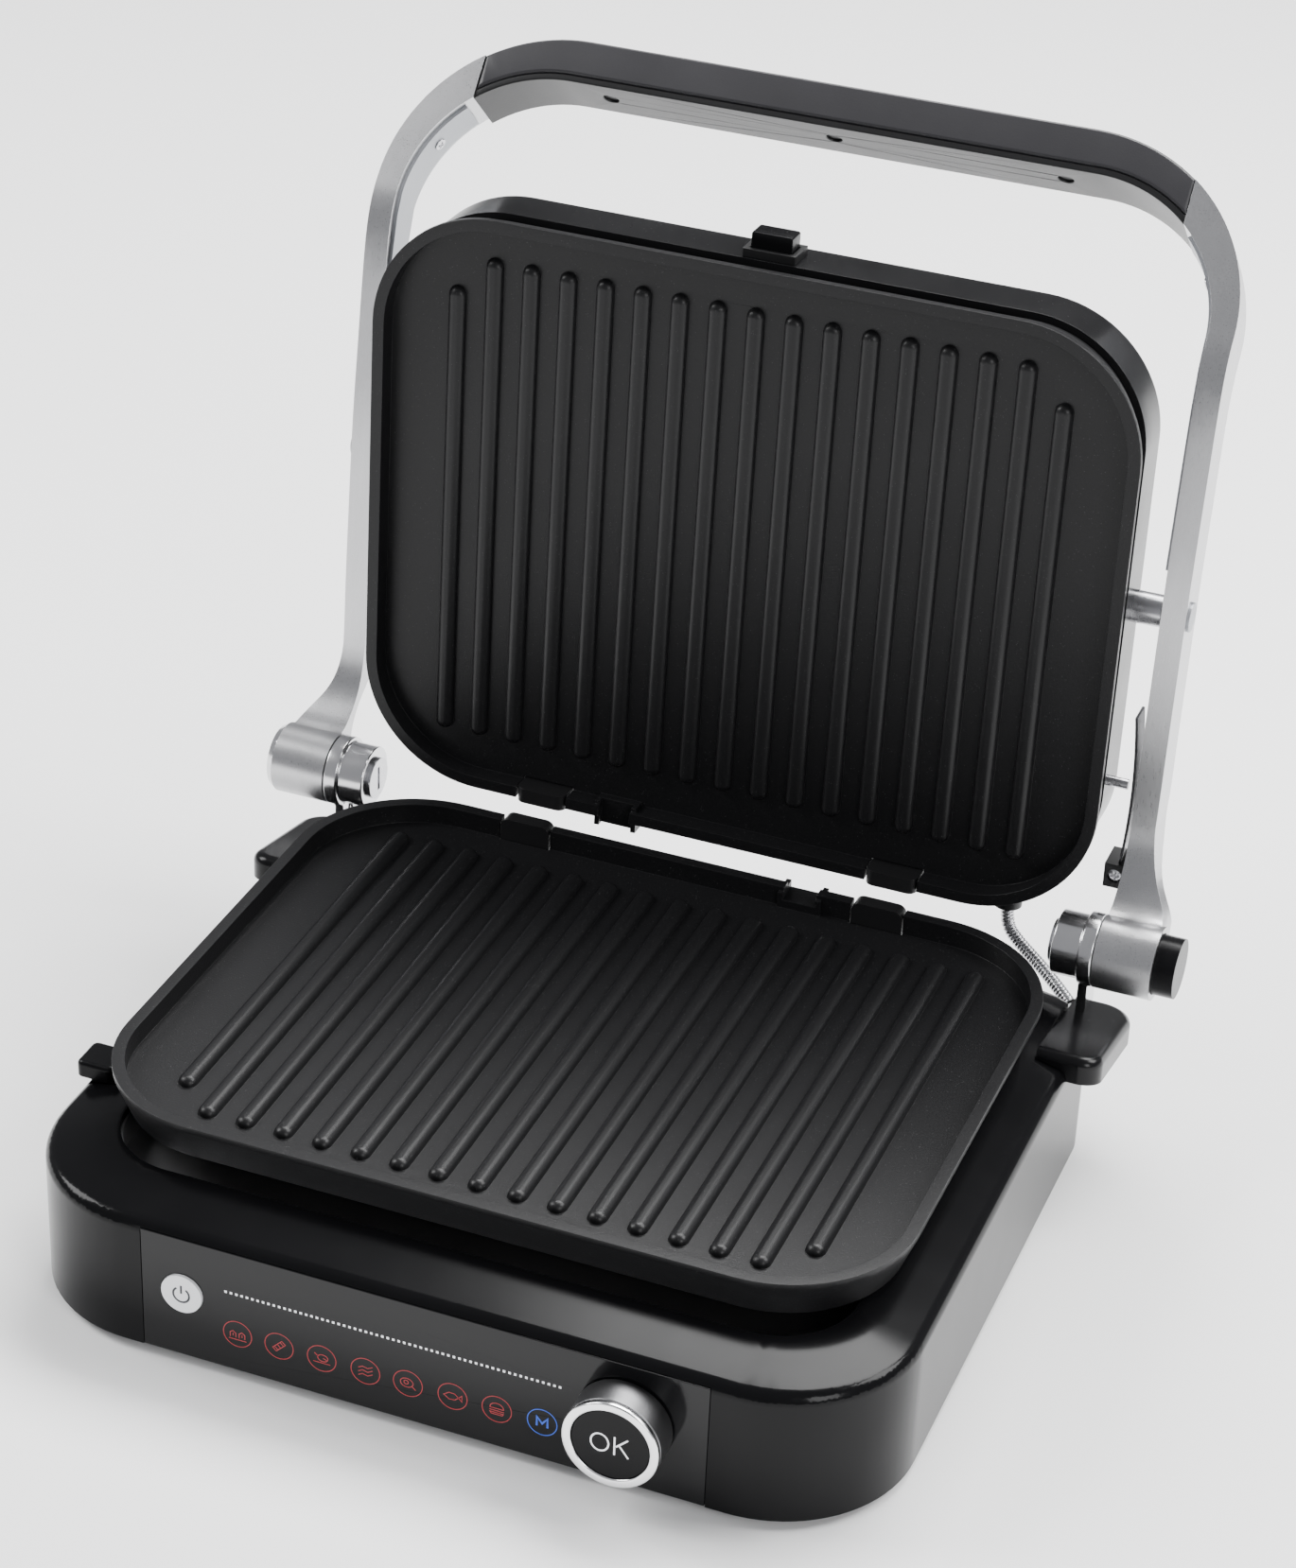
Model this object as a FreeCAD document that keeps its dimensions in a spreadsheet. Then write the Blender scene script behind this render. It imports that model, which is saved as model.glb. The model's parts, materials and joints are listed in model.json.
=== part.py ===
import FreeCAD, Part
import math
import os
import Sketcher
from FreeCAD import Placement, Rotation, Vector

# Contact grill with two ribbed plates, a floating lid carried by two arms, and a
# rounded base.  Frame: X to the right, Y to the back, Z up, in millimetres.  The
# origin is the middle of the open grill's footprint, on the surface it stands on.
# The grill is drawn open, as it stands with the lid raised to open_angle.

doc = FreeCAD.newDocument("contact_grill")
sheet = doc.addObject("Spreadsheet::Sheet", "Sizes")

SIZES = (
    # base
    ("base_w", 318.4), ("base_d", 263.0), ("base_mid", -54.85), ("foot_h", 4.0),
    ("foot_dia", 16.0), ("foot_inset", 42.0), ("wall_h", 51.7), ("corner_front", 49.0),
    ("corner_rear", 22.0), ("wall", 2.6), ("slope_in", 22.0), ("slope_up", 4.8),
    ("crease_soft", 5.0), ("seam", 0.2), ("cover_t", 2.5),
    # front panel and its controls
    ("panel_side", 7.4), ("panel_h", 49.6), ("panel_t", 2.4), ("control_z", 31.0),
    ("power_in", 15.3), ("power_r", 7.6), ("power_out", 0.9), ("power_travel", 0.8),
    ("knob_in", 28.6), ("knob_r", 17.0), ("knob_out", 14.0), ("knob_gap", 0.6),
    ("knob_ring", 3.2), ("ok_sink", 0.7), ("ok_travel", 0.8), ("shaft_r", 3.0),
    ("collar_r", 9.0), ("board_t", 1.6), ("board_back", 9.0),
    # cooking plates
    ("plate_side", 12.2), ("plate_fore", 27.8), ("plate_aft", 2.15), ("plate_corner", 48.0),
    ("plate_h", 15.5), ("rim_h", 8.0), ("rim_t", 4.6), ("floor_t", 4.2), ("plate_clear", 2.0),
    ("skirt_in", 9.0), ("rib_pitch", 14.5), ("rib_w", 7.0), ("rib_h", 3.2),
    ("rib_front", 17.0), ("rib_back", 19.3), ("rib_short", 13.3), ("rib_side", 23.0),
    ("notch_x", 71.5), ("notch_w", 20.0), ("notch_deep", 5.5),
    ("drain_x", 41.0), ("drain_w", 17.0), ("drain_out", 4.5), ("plates_apart", 21.6),
    ("upper_back", 1.7),
    # heaters
    ("heater_r", 3.3), ("heater_side", 49.0), ("heater_end", 52.5), ("heater_bend", 30.0),
    ("pan_t", 0.8), ("pan_h", 12.0), ("pan_in", 12.0), ("pan_sink", 2.5),
    # hinge
    ("axis_behind", 2.1), ("axis_over", 7.8), ("open_angle", 92.6),
    ("boss_r", 12.3), ("boss_w", 10.5), ("ring_r", 13.9), ("ring_w", 5.5), ("bracket_gap", 0.3),
    ("web_t", 3.6), ("web_d", 13.0), ("web_deep", 33.0), ("side_gap", 0.3),
    ("knuckle_w", 22.0), ("pin_r", 5.0), ("pin_fit", 0.05), ("pin_head_r", 8.2),
    ("release_r", 11.4), ("release_out", 8.1), ("release_travel", 3.0), ("spring_r", 4.6),
    ("spring_wire", 0.9), ("cap_t", 2.6),
    # rear shrouds
    ("shroud_in", 12.0), ("shroud_out", 11.4), ("shroud_front", 50.0), ("shroud_back", 9.0),
    ("shroud_step", 13.0), ("shroud_rise", 7.0), ("shroud_fall", 5.6), ("shroud_t", 11.0),
    ("shroud_deep", 20.0), ("shroud_r", 8.0), ("shroud_rear_r", 13.0), ("shroud_edge", 3.6), ("bracket_side", 20.0),
    # arms and grip
    ("arm_w", 9.2), ("arm_d", 18.0), ("arm_side", 3.1), ("grip_w", 16.7), ("grip_d", 25.0),
    ("loop_r", 67.0), ("loop_in_r", 54.0), ("grip_end", 18.7), ("loop_lean", 42.0),
    ("grip_wall", 2.6), ("grip_screw_in", 48.7), ("grip_screw_r", 3.0), ("joint_gap", 0.15),
    ("float_pin_r", 3.0), ("float_fit", 0.05), ("float_past", 2.95), ("float_back", 41.0),
    ("float_collar_r", 6.0), ("cover_skin", 1.2), ("leaf_t", 1.0), ("leaf_w", 10.0),
    # lid
    ("frame_in", 2.2), ("frame_h", 20.0), ("frame_wall", 3.0), ("lid_cover_t", 1.0),
    ("lid_cover_h", 10.0), ("lid_cover_in", 3.0), ("lid_corner", 46.0),
    ("button_w", 15.6), ("button_h", 9.0), ("button_out", 9.0), ("button_travel", 3.0),
    # grease tray
    ("tray_w", 120.0), ("tray_d", 62.0), ("tray_h", 20.0), ("tray_wall", 1.8), ("tray_gap", 0.5),
    ("tray_lift", 6.0), ("gland_r", 5.0), ("cord_hole_r", 2.6), ("boot_in", 35.0), ("boot_r", 5.5), ("boot_out", 11.0),
)


class Size:
    """A length that knows both its value and the sheet expression it comes from."""

    def __init__(self, value, text):
        self.value = float(value)
        self.text = text

    def _join(self, other, sign, flip=False):
        other = size(other)
        a, b = (other, self) if flip else (self, other)
        value = {
            "+": lambda: a.value + b.value,
            "-": lambda: a.value - b.value,
            "*": lambda: a.value * b.value,
            "/": lambda: a.value / b.value,
        }[sign]()
        return Size(value, "(%s %s %s)" % (a.text, sign, b.text))

    def __add__(self, other):
        return self._join(other, "+")

    def __radd__(self, other):
        return self._join(other, "+", True)

    def __sub__(self, other):
        return self._join(other, "-")

    def __rsub__(self, other):
        return self._join(other, "-", True)

    def __mul__(self, other):
        return self._join(other, "*")

    def __rmul__(self, other):
        return self._join(other, "*", True)

    def __truediv__(self, other):
        return self._join(other, "/")

    def __neg__(self):
        return Size(0, "0") - self

    def __float__(self):
        return self.value


def size(quantity):
    """Any number as a Size."""
    if isinstance(quantity, Size):
        return quantity
    return Size(quantity, "%.6f" % quantity)


class Sheet:
    """The sheet's cells as attributes: S.base_w is the cell's Size."""


S = Sheet()
for row, (alias, value) in enumerate(SIZES, start=1):
    sheet.set("A%d" % row, alias)
    sheet.set("B%d" % row, "%g" % value)
    sheet.setAlias("B%d" % row, alias)
    setattr(S, alias, Size(value, "Sizes.%s" % alias))
doc.recompute()

NODES = []


def keep(node, thing):
    """Name the object that is exported as parts/NODE.step."""
    thing.Label = node
    NODES.append((node, thing))
    return thing


def bind(thing, prop, quantity):
    thing.setExpression(prop, size(quantity).text)


# ---------------------------------------------------------------- Part primitives
counter = {"n": 0}


def fresh(kind, stem):
    counter["n"] += 1
    return doc.addObject(kind, "%s_%03d" % (stem, counter["n"]))


def box(x0, x1, y0, y1, z0, z1):
    """A box between two corners."""
    item = fresh("Part::Box", "block")
    for prop, lo, hi in (("Length", x0, x1), ("Width", y0, y1), ("Height", z0, z1)):
        bind(item, prop, size(hi) - lo)
    for prop, lo in (("x", x0), ("y", y0), ("z", z0)):
        bind(item, "Placement.Base." + prop, lo)
    return item


AXES = {
    "X": Rotation(Vector(0, 1, 0), 90),
    "Y": Rotation(Vector(1, 0, 0), -90),
    "Z": Rotation(),
}


def rod(axis, start, end, radius, x=0, y=0, z=0):
    """A cylinder along an axis from start to end, centred on the other two values."""
    item = fresh("Part::Cylinder", "rod")
    item.Placement = Placement(Vector(), AXES[axis])
    bind(item, "Radius", radius)
    bind(item, "Height", size(end) - start)
    at = {"x": x, "y": y, "z": z}
    at[axis.lower()] = start
    for prop, value in at.items():
        bind(item, "Placement.Base." + prop, value)
    return item


def cone(axis, start, end, radius, radius_end, x=0, y=0, z=0):
    """A cone along an axis, with its radius at start and at end."""
    item = fresh("Part::Cone", "taper")
    item.Placement = Placement(Vector(), AXES[axis])
    bind(item, "Radius1", radius)
    bind(item, "Radius2", radius_end)
    bind(item, "Height", size(end) - start)
    at = {"x": x, "y": y, "z": z}
    at[axis.lower()] = start
    for prop, value in at.items():
        bind(item, "Placement.Base." + prop, value)
    return item


def fuse(*items):
    """All the items as one."""
    if len(items) == 1:
        return items[0]
    item = fresh("Part::MultiFuse", "joined")
    item.Shapes = list(items)
    return item


def cut(base, *tools):
    """The base without the tools."""
    item = fresh("Part::Cut", "shaped")
    item.Base = base
    item.Tool = fuse(*tools)
    return item


def group(*items):
    """Separate pieces of one kind, kept together."""
    item = fresh("Part::Compound", "set")
    item.Links = list(items)
    return item


def solid(shape):
    """A shape that is worked out from the sheet's values in code."""
    item = fresh("Part::Feature", "form")
    item.Shape = shape
    return item


# ------------------------------------------------------------ PartDesign helpers
def body(stem):
    return fresh("PartDesign::Body", stem)


def plane(holder, role):
    return [f for f in holder.Origin.OriginFeatures if f.Role == role][0]


def sketch(holder, role, offset=0):
    """An empty sketch on one of the body's own planes, moved along its normal."""
    item = holder.newObject("Sketcher::SketchObject", "outline")
    item.AttachmentSupport = [(plane(holder, role), "")]
    item.MapMode = "FlatFace"
    bind(item, "AttachmentOffset.Base.z", offset)
    return item


def locate(item, kind, geo, point, quantity):
    """Fix a point's distance from the sketch's origin along one axis."""
    index = item.addConstraint(
        Sketcher.Constraint(kind, -1, 1, geo, point, size(quantity).value)
    )
    bind(item, "Constraints[%d]" % index, quantity)


def rounded(item, x0, x1, y0, y1, low_r, high_r=None):
    """A closed rectangle with rounded corners; low_r is used at y0, high_r at y1."""
    radii = [size(low_r), size(low_r), size(high_r or low_r), size(high_r or low_r)]
    a, b, c, d = (size(q).value for q in (x0, x1, y0, y1))
    r = [q.value for q in radii]
    line = lambda p, q: item.addGeometry(Part.LineSegment(Vector(*p, 0), Vector(*q, 0)), False)
    arc = lambda cx, cy, rad, start: item.addGeometry(
        Part.ArcOfCircle(
            Part.Circle(Vector(cx, cy, 0), Vector(0, 0, 1), rad),
            math.radians(start), math.radians(start + 90),
        ), False,
    )
    south = line((a + r[0], c), (b - r[1], c))
    se = arc(b - r[1], c + r[1], r[1], 270)
    east = line((b, c + r[1]), (b, d - r[2]))
    ne = arc(b - r[2], d - r[2], r[2], 0)
    north = line((b - r[2], d), (a + r[3], d))
    nw = arc(a + r[3], d - r[3], r[3], 90)
    west = line((a, d - r[3]), (a, c + r[0]))
    sw = arc(a + r[0], c + r[0], r[0], 180)
    for first, second, end in (
        (south, se, 1), (se, east, 1), (east, ne, 1), (ne, north, 1),
        (north, nw, 1), (nw, west, 1), (west, sw, 1), (sw, south, 1),
    ):
        item.addConstraint(Sketcher.Constraint("Tangent", first, 2, second, end))
    for geo in (south, north):
        item.addConstraint(Sketcher.Constraint("Horizontal", geo))
    for geo in (east, west):
        item.addConstraint(Sketcher.Constraint("Vertical", geo))
    for geo, radius in ((sw, radii[0]), (se, radii[1]), (ne, radii[2]), (nw, radii[3])):
        index = item.addConstraint(Sketcher.Constraint("Radius", geo, radius.value))
        bind(item, "Constraints[%d]" % index, radius)
    locate(item, "DistanceY", south, 1, y0)
    locate(item, "DistanceY", north, 1, y1)
    locate(item, "DistanceX", east, 1, x1)
    locate(item, "DistanceX", west, 1, x0)


def rectangle(item, x0, x1, y0, y1):
    """A closed rectangle with sharp corners."""
    a, b, c, d = (size(q).value for q in (x0, x1, y0, y1))
    corners = [(a, c), (b, c), (b, d), (a, d)]
    ids = [
        item.addGeometry(
            Part.LineSegment(Vector(*corners[i], 0), Vector(*corners[(i + 1) % 4], 0)), False
        )
        for i in range(4)
    ]
    for i in range(4):
        item.addConstraint(Sketcher.Constraint("Coincident", ids[i], 2, ids[(i + 1) % 4], 1))
        item.addConstraint(Sketcher.Constraint("Vertical" if i % 2 else "Horizontal", ids[i]))
    locate(item, "DistanceX", ids[0], 1, x0)
    locate(item, "DistanceX", ids[1], 1, x1)
    locate(item, "DistanceY", ids[0], 1, y0)
    locate(item, "DistanceY", ids[2], 1, y1)


def circle(item, x, y, radius):
    x, y, radius = size(x), size(y), size(radius)
    geo = item.addGeometry(
        Part.Circle(Vector(x.value, y.value, 0), Vector(0, 0, 1), radius.value), False
    )
    index = item.addConstraint(Sketcher.Constraint("Radius", geo, radius.value))
    bind(item, "Constraints[%d]" % index, radius)
    locate(item, "DistanceX", geo, 3, x)
    locate(item, "DistanceY", geo, 3, y)


def outline(item, points):
    """A closed polygon whose corners are all fixed."""
    count = len(points)
    ids = []
    for i in range(count):
        p, q = points[i], points[(i + 1) % count]
        ids.append(
            item.addGeometry(
                Part.LineSegment(
                    Vector(size(p[0]).value, size(p[1]).value, 0),
                    Vector(size(q[0]).value, size(q[1]).value, 0),
                ), False,
            )
        )
    for i in range(count):
        item.addConstraint(Sketcher.Constraint("Coincident", ids[i], 2, ids[(i + 1) % count], 1))
    for i, (x, y) in enumerate(points):
        locate(item, "DistanceX", ids[i], 1, x)
        locate(item, "DistanceY", ids[i], 1, y)


def pad(holder, profile, length, back=False):
    item = holder.newObject("PartDesign::Pad", "pad")
    item.Profile = profile
    bind(item, "Length", length)
    item.Reversed = back
    return item


def pocket(holder, profile, length, up=False):
    """Cut along the sketch's normal (up) or against it."""
    item = holder.newObject("PartDesign::Pocket", "pocket")
    item.Profile = profile
    bind(item, "Length", length)
    item.Reversed = up
    return item


def fillet(holder, radius, chosen):
    """Round the edges of the tip that the test picks."""
    doc.recompute()
    tip = holder.Tip
    names = ["Edge%d" % (i + 1) for i, e in enumerate(tip.Shape.Edges) if chosen(e)]
    item = holder.newObject("PartDesign::Fillet", "fillet")
    item.Base = (tip, names)
    bind(item, "Radius", radius)
    return item


def level(z):
    """A test for edges that lie wholly at one height."""
    return lambda e: abs(e.BoundBox.ZMin - z) < 1e-4 and abs(e.BoundBox.ZMax - z) < 1e-4


def slab(x0, x1, y0, y1, z0, z1, low_r, high_r=None, stem="slab"):
    """A body with one rounded rectangular pad."""
    holder = body(stem)
    item = sketch(holder, "XY_Plane", z0)
    rounded(item, x0, x1, y0, y1, low_r, high_r)
    pad(holder, item, size(z1) - z0)
    return holder


def hollow(holder, x0, x1, y0, y1, z0, z1, low_r, high_r=None):
    """Cut a rounded rectangular hollow between two heights."""
    item = sketch(holder, "XY_Plane", z0)
    rounded(item, x0, x1, y0, y1, low_r, high_r)
    pocket(holder, item, size(z1) - z0, up=True)


# ----------------------------------------------------------------- derived places
front = S.base_mid - S.base_d / 2
rear = S.base_mid + S.base_d / 2
crease = S.foot_h + S.wall_h
deck = crease + S.slope_up
plate_low = deck + S.plate_clear
surface = plate_low + S.plate_h - S.rim_h
rim_top = plate_low + S.plate_h
axis_y = rear + S.axis_behind
axis_z = surface + S.axis_over
plate_front = front + S.plate_fore
plate_rear = rear - S.plate_aft
plate_mid = (plate_front + plate_rear) / 2
plate_d = plate_rear - plate_front
plate_w = S.base_w - 2 * S.plate_side
upper_mid = plate_mid + S.upper_back
rib_len = plate_d - S.rib_front - S.rib_back
heater_w = plate_w - 2 * S.heater_side
heater_d = plate_d - 2 * S.heater_end
panel_w = S.base_w - 2 * (S.corner_front + S.panel_side)
power_x = S.power_in - panel_w / 2
knob_x = panel_w / 2 - S.knob_in
boot_x = plate_w / 2 - S.boot_in
bracket_in = S.base_w / 2 - S.bracket_side + S.bracket_gap
ring_out = bracket_in + S.boss_w + S.ring_w
arm_in = S.base_w / 2 - S.arm_side
grip_half = arm_in - S.grip_end
grip_screw_x = grip_half - S.grip_screw_in
float_up = axis_y - upper_mid + S.float_past
knuckle_in = ring_out + S.side_gap
knuckle_out = knuckle_in + S.knuckle_w

# The lid is drawn closed, with its plate level over the lower one, and then turned
# up about the hinge axis.
OPEN = Placement(
    Vector(), Rotation(Vector(1, 0, 0), -S.open_angle.value),
    Vector(0, axis_y.value, axis_z.value),
)


def opened(item):
    item.Placement = OPEN
    return item


tray_side = S.tray_w / 2 + 20

# ---------------------------------------------------------------- base: housing
def shroud_slope():
    """Front, rear and how far the shroud's top falls for each millimetre backwards."""
    y0, y1 = (axis_y - S.shroud_front).value, (axis_y + S.shroud_back).value
    return y0, y1, (S.shroud_rise + S.shroud_fall).value / (y1 - y0)


def shroud_slot(x0, x1):
    """What the housing leaves free for a shroud's tongue."""
    y0, y1, fall = shroud_slope()
    y0 -= S.seam.value
    y1 += 20
    floor = (crease + S.shroud_rise - S.shroud_t - S.seam).value
    top = (deck + 10).value
    points = [Vector(x0, y, z) for y, z in (
        (y0, floor), (y0, top), (y1, top), (y1, floor - fall * (y1 - y0)), (y0, floor))]
    return Part.Face(Part.makePolygon(points)).extrude(Vector(x1 - x0, 0, 0))


def base_housing():
    """The rounded shell: upright wall, sloping top and the well for the heater."""
    holder = body("base_housing")
    foot = sketch(holder, "XY_Plane", S.foot_h)
    half = S.base_w / 2
    rounded(foot, -half, half, front, rear, S.corner_front, S.corner_rear)
    pad(holder, foot, S.wall_h)
    low = sketch(holder, "XY_Plane", crease)
    rounded(low, -half, half, front, rear, S.corner_front, S.corner_rear)
    high = sketch(holder, "XY_Plane", deck)
    inset = S.slope_in
    rounded(
        high, -half + inset, half - inset, front + inset, rear - inset / 4,
        S.corner_front - inset, S.corner_rear - inset / 4,
    )
    slope = holder.newObject("PartDesign::AdditiveLoft", "slope")
    slope.Profile = low
    slope.Sections = [high]
    slope.Ruled = True
    fillet(holder, S.crease_soft, level(crease.value))
    w = S.wall
    hollow(
        holder, -half + w, half - w, front + w, rear - w, S.foot_h, crease - w,
        S.corner_front - w, S.corner_rear - w,
    )
    well = inset + w
    hollow(
        holder, -half + well, half - well, front + well, rear - S.slope_in / 4 - w,
        crease - w, deck, S.corner_front - well + 4, S.corner_rear - S.slope_in / 4 - w,
    )
    panel = sketch(holder, "XZ_Plane", -front)
    gap = S.seam
    rectangle(panel, -panel_w / 2 - gap, panel_w / 2 + gap, S.foot_h, S.foot_h + S.panel_h + gap)
    pocket(holder, panel, S.wall)
    doc.recompute()
    tray_z = S.foot_h + S.tray_lift
    tools = [
        box(-S.tray_w / 2 - S.tray_gap, S.tray_w / 2 + S.tray_gap, rear - S.wall - 1, rear + 1,
            tray_z - S.tray_gap, tray_z + S.tray_h + S.tray_gap)
    ]
    for side in (-1, 1):
        inner, outer = sorted(
            (side * (S.base_w / 2 - S.shroud_in - S.seam), side * (S.base_w / 2 + 20)),
            key=float,
        )
        tools.append(solid(shroud_slot(inner.value, outer.value)))
        tools.append(
            box(inner, outer, axis_y - S.shroud_step - S.seam, rear + 20,
                crease - S.shroud_deep - S.seam, deck + 10)
        )
    tools.append(
        box(-S.base_w / 2 + 1.4, -S.base_w / 2 + 15.4, S.base_mid - 67.6, S.base_mid - 52.4, crease - 6, deck + 10)
    )
    tools.append(rod("Y", rear - 10, rear + 10, S.gland_r, x=-tray_side, z=18))
    tools.append(box(boot_x - 10, boot_x + 12, rear - S.slope_in / 4 - S.wall + 0.2, rear + 5, crease - 22, deck + 5))
    for x in (-S.notch_x, S.notch_x):
        tools.append(
            box(x - S.notch_w / 2 - 0.1, x + S.notch_w / 2 + 0.1, plate_rear - S.notch_deep + 0.3,
                plate_rear + 1.1, crease - 1, deck + 5)
        )
    return cut(holder, *tools)


keep("base_housing", base_housing())

# bottom cover, inside the wall, screwed up from below
inner_w = S.base_w / 2 - S.wall - S.seam
bottom = slab(
    -inner_w, inner_w, front + S.wall + S.seam + 0.1, rear - S.wall - S.seam,
    S.foot_h, S.foot_h + S.cover_t, S.corner_front - S.wall, S.corner_rear - S.wall, "bottom",
)
slots = sketch(bottom, "XY_Plane", S.foot_h)
for step in range(-4, 5):
    rectangle(slots, step * 12 - 2.0, step * 12 + 2.0, S.base_mid - 30, S.base_mid + 10)
pocket(bottom, slots, S.cover_t, up=True)
foot_x = S.base_w / 2 - S.foot_inset
screws_at = [
    (sx * (S.base_w / 2 - 19.2), y) for sx in (-1, 1) for y in (S.base_mid - 60, S.base_mid + 40)
]
feet_at = [(sx * foot_x, y) for sx in (-1, 1) for y in (front + S.foot_inset, rear - S.foot_inset)]
keep(
    "base_bottom_cover",
    cut(
        bottom,
        *[rod("Z", S.foot_h - 1, S.foot_h + 10, 3.1, x=x, y=y) for x, y in feet_at],
        *[rod("Z", S.foot_h - 1, S.foot_h + 10, 1.65, x=x, y=y) for x, y in screws_at],
    ),
)
keep(
    "rubber_feet",
    group(
        *[
            fuse(
                rod("Z", 0, S.foot_h, S.foot_dia / 2, x=x, y=y),
                rod("Z", S.foot_h, S.foot_h + S.cover_t + 1.2, 3.0, x=x, y=y),
            )
            for x, y in feet_at
        ]
    ),
)
keep(
    "base_screws",
    group(
        *[
            fuse(
                rod("Z", S.foot_h - 1.4, S.foot_h, 3.4, x=x, y=y),
                rod("Z", S.foot_h, S.foot_h + S.cover_t, 1.6, x=x, y=y),
            )
            for x, y in screws_at
        ]
    ),
)

# ------------------------------------------------------------ front panel, controls
panel_back = front + S.wall + 1.4
half_panel = panel_w / 2
control_panel = cut(
    fuse(
        box(-half_panel, half_panel, front, front + S.wall, S.foot_h + 0.3, S.foot_h + S.panel_h),
        box(-half_panel - 5, half_panel + 5, front + S.wall, panel_back,
            S.foot_h + S.cover_t + 0.3, crease - S.wall - 0.2),
    ),
    rod("Y", front - 1, panel_back + 1, S.power_r + 0.25, x=power_x, z=S.control_z),
    rod("Y", front + 1.6, panel_back + 1, S.power_r + 1.8, x=power_x, z=S.control_z),
    rod("Y", front - 1, panel_back + 1, 6.3, x=knob_x, z=S.control_z),
)
keep("control_panel", control_panel)

board_y = panel_back + S.board_back
keep(
    "power_button",
    fuse(
        rod("Y", front - S.power_out, front + S.wall + 0.6, S.power_r, x=power_x, z=S.control_z),
        rod("Y", front + 1.6 + 0.25, front + 1.6 + 1.5, S.power_r + 1.4, x=power_x, z=S.control_z),
        rod("Y", front + 2, board_y - S.power_travel - 0.4, 2.2, x=power_x, z=S.control_z),
    ),
)
knob_back = front - S.knob_gap
knob_face = front - S.knob_out
knob_mid = knob_face + 2.4
keep(
    "knob_body",
    cut(
        fuse(
            rod("Y", knob_mid, knob_back, S.knob_r, x=knob_x, z=S.control_z),
            rod("Y", knob_back - 1, panel_back + 1.2, 6.0, x=knob_x, z=S.control_z),
        ),
        rod("Y", knob_mid - 1, knob_back - 3, S.knob_r - S.knob_ring, x=knob_x, z=S.control_z),
        rod("Y", knob_back - 9, panel_back + 5, S.shaft_r + 0.3, x=knob_x, z=S.control_z),
    ),
)
keep(
    "knob_ring",
    cut(
        rod("Y", knob_face, knob_mid, S.knob_r, x=knob_x, z=S.control_z),
        rod("Y", knob_face - 1, knob_mid + 1, S.knob_r - S.knob_ring, x=knob_x, z=S.control_z),
    ),
)
keep(
    "ok_button",
    fuse(
        rod("Y", knob_face + S.ok_sink, knob_back - 3 - S.ok_travel - 0.4,
            S.knob_r - S.knob_ring - 0.3, x=knob_x, z=S.control_z),
        rod("Y", knob_face + 3, board_y - S.ok_travel - 0.4, S.shaft_r, x=knob_x, z=S.control_z),
    ),
)
keep(
    "encoder",
    cut(
        box(knob_x - 8, knob_x + 8, panel_back, board_y, S.control_z - 8, S.control_z + 8),
        rod("Y", panel_back - 1, board_y + 1, 6.35, x=knob_x, z=S.control_z),
    ),
)
keep(
    "control_board",
    fuse(
        box(-half_panel + 6, half_panel - 6, board_y, board_y + S.board_t,
            S.control_z - 17, S.control_z + 17),
        box(power_x + 17.5, knob_x - 34, board_y - 2.5, board_y, S.control_z - 12, S.control_z + 8),
        box(power_x - 2.5, power_x + 3.5, board_y + S.board_t, board_y + S.board_t + 6, S.control_z - 10, S.control_z + 10),
    ),
)
keep(
    "board_posts",
    group(
        *[
            rod("Y", panel_back, board_y, 2.6, x=x, z=S.control_z + z)
            for x in (-half_panel + 11, half_panel - 11)
            for z in (-12, 12)
        ]
    ),
)
keep(
    "cable_gland",
    cut(
        fuse(
            rod("Y", rear - S.wall - 2, rear + 3.5, S.gland_r, x=-tray_side, z=18),
            rod("Y", rear, rear + 2, 7, x=-tray_side, z=18),
            rod("Y", rear - S.wall - 2, rear - S.wall, 6.5, x=-tray_side, z=18),
        ),
        rod("Y", rear - 10, rear + 10, S.cord_hole_r, x=-tray_side, z=18),
    ),
)

# ------------------------------------------------------------ grease tray and rails
tray_low = S.foot_h + S.tray_lift
half_tray = S.tray_w / 2
tray = slab(-half_tray, half_tray, rear - S.tray_d, rear, tray_low, tray_low + S.tray_h, 3, 0.6, "tray")
hollow(
    tray, -half_tray + S.tray_wall, half_tray - S.tray_wall, rear - S.tray_d + S.tray_wall,
    rear - S.tray_wall, tray_low + S.tray_wall, tray_low + S.tray_h, 2, 0.5,
)
keep("drip_tray", tray)
keep(
    "tray_rails",
    group(
        *[
            fuse(
                box(*sorted((sx * (half_tray + 3), sx * (half_tray - 8)), key=float),
                    rear - S.tray_d, rear - S.wall - 2, S.foot_h + S.cover_t, tray_low - 0.3),
                box(*sorted((sx * (half_tray + 3), sx * (half_tray + 0.5)), key=float),
                    rear - S.tray_d, rear - S.wall - 2, S.foot_h + S.cover_t, tray_low + 8),
            )
            for sx in (-1, 1)
        ]
    ),
)

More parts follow.
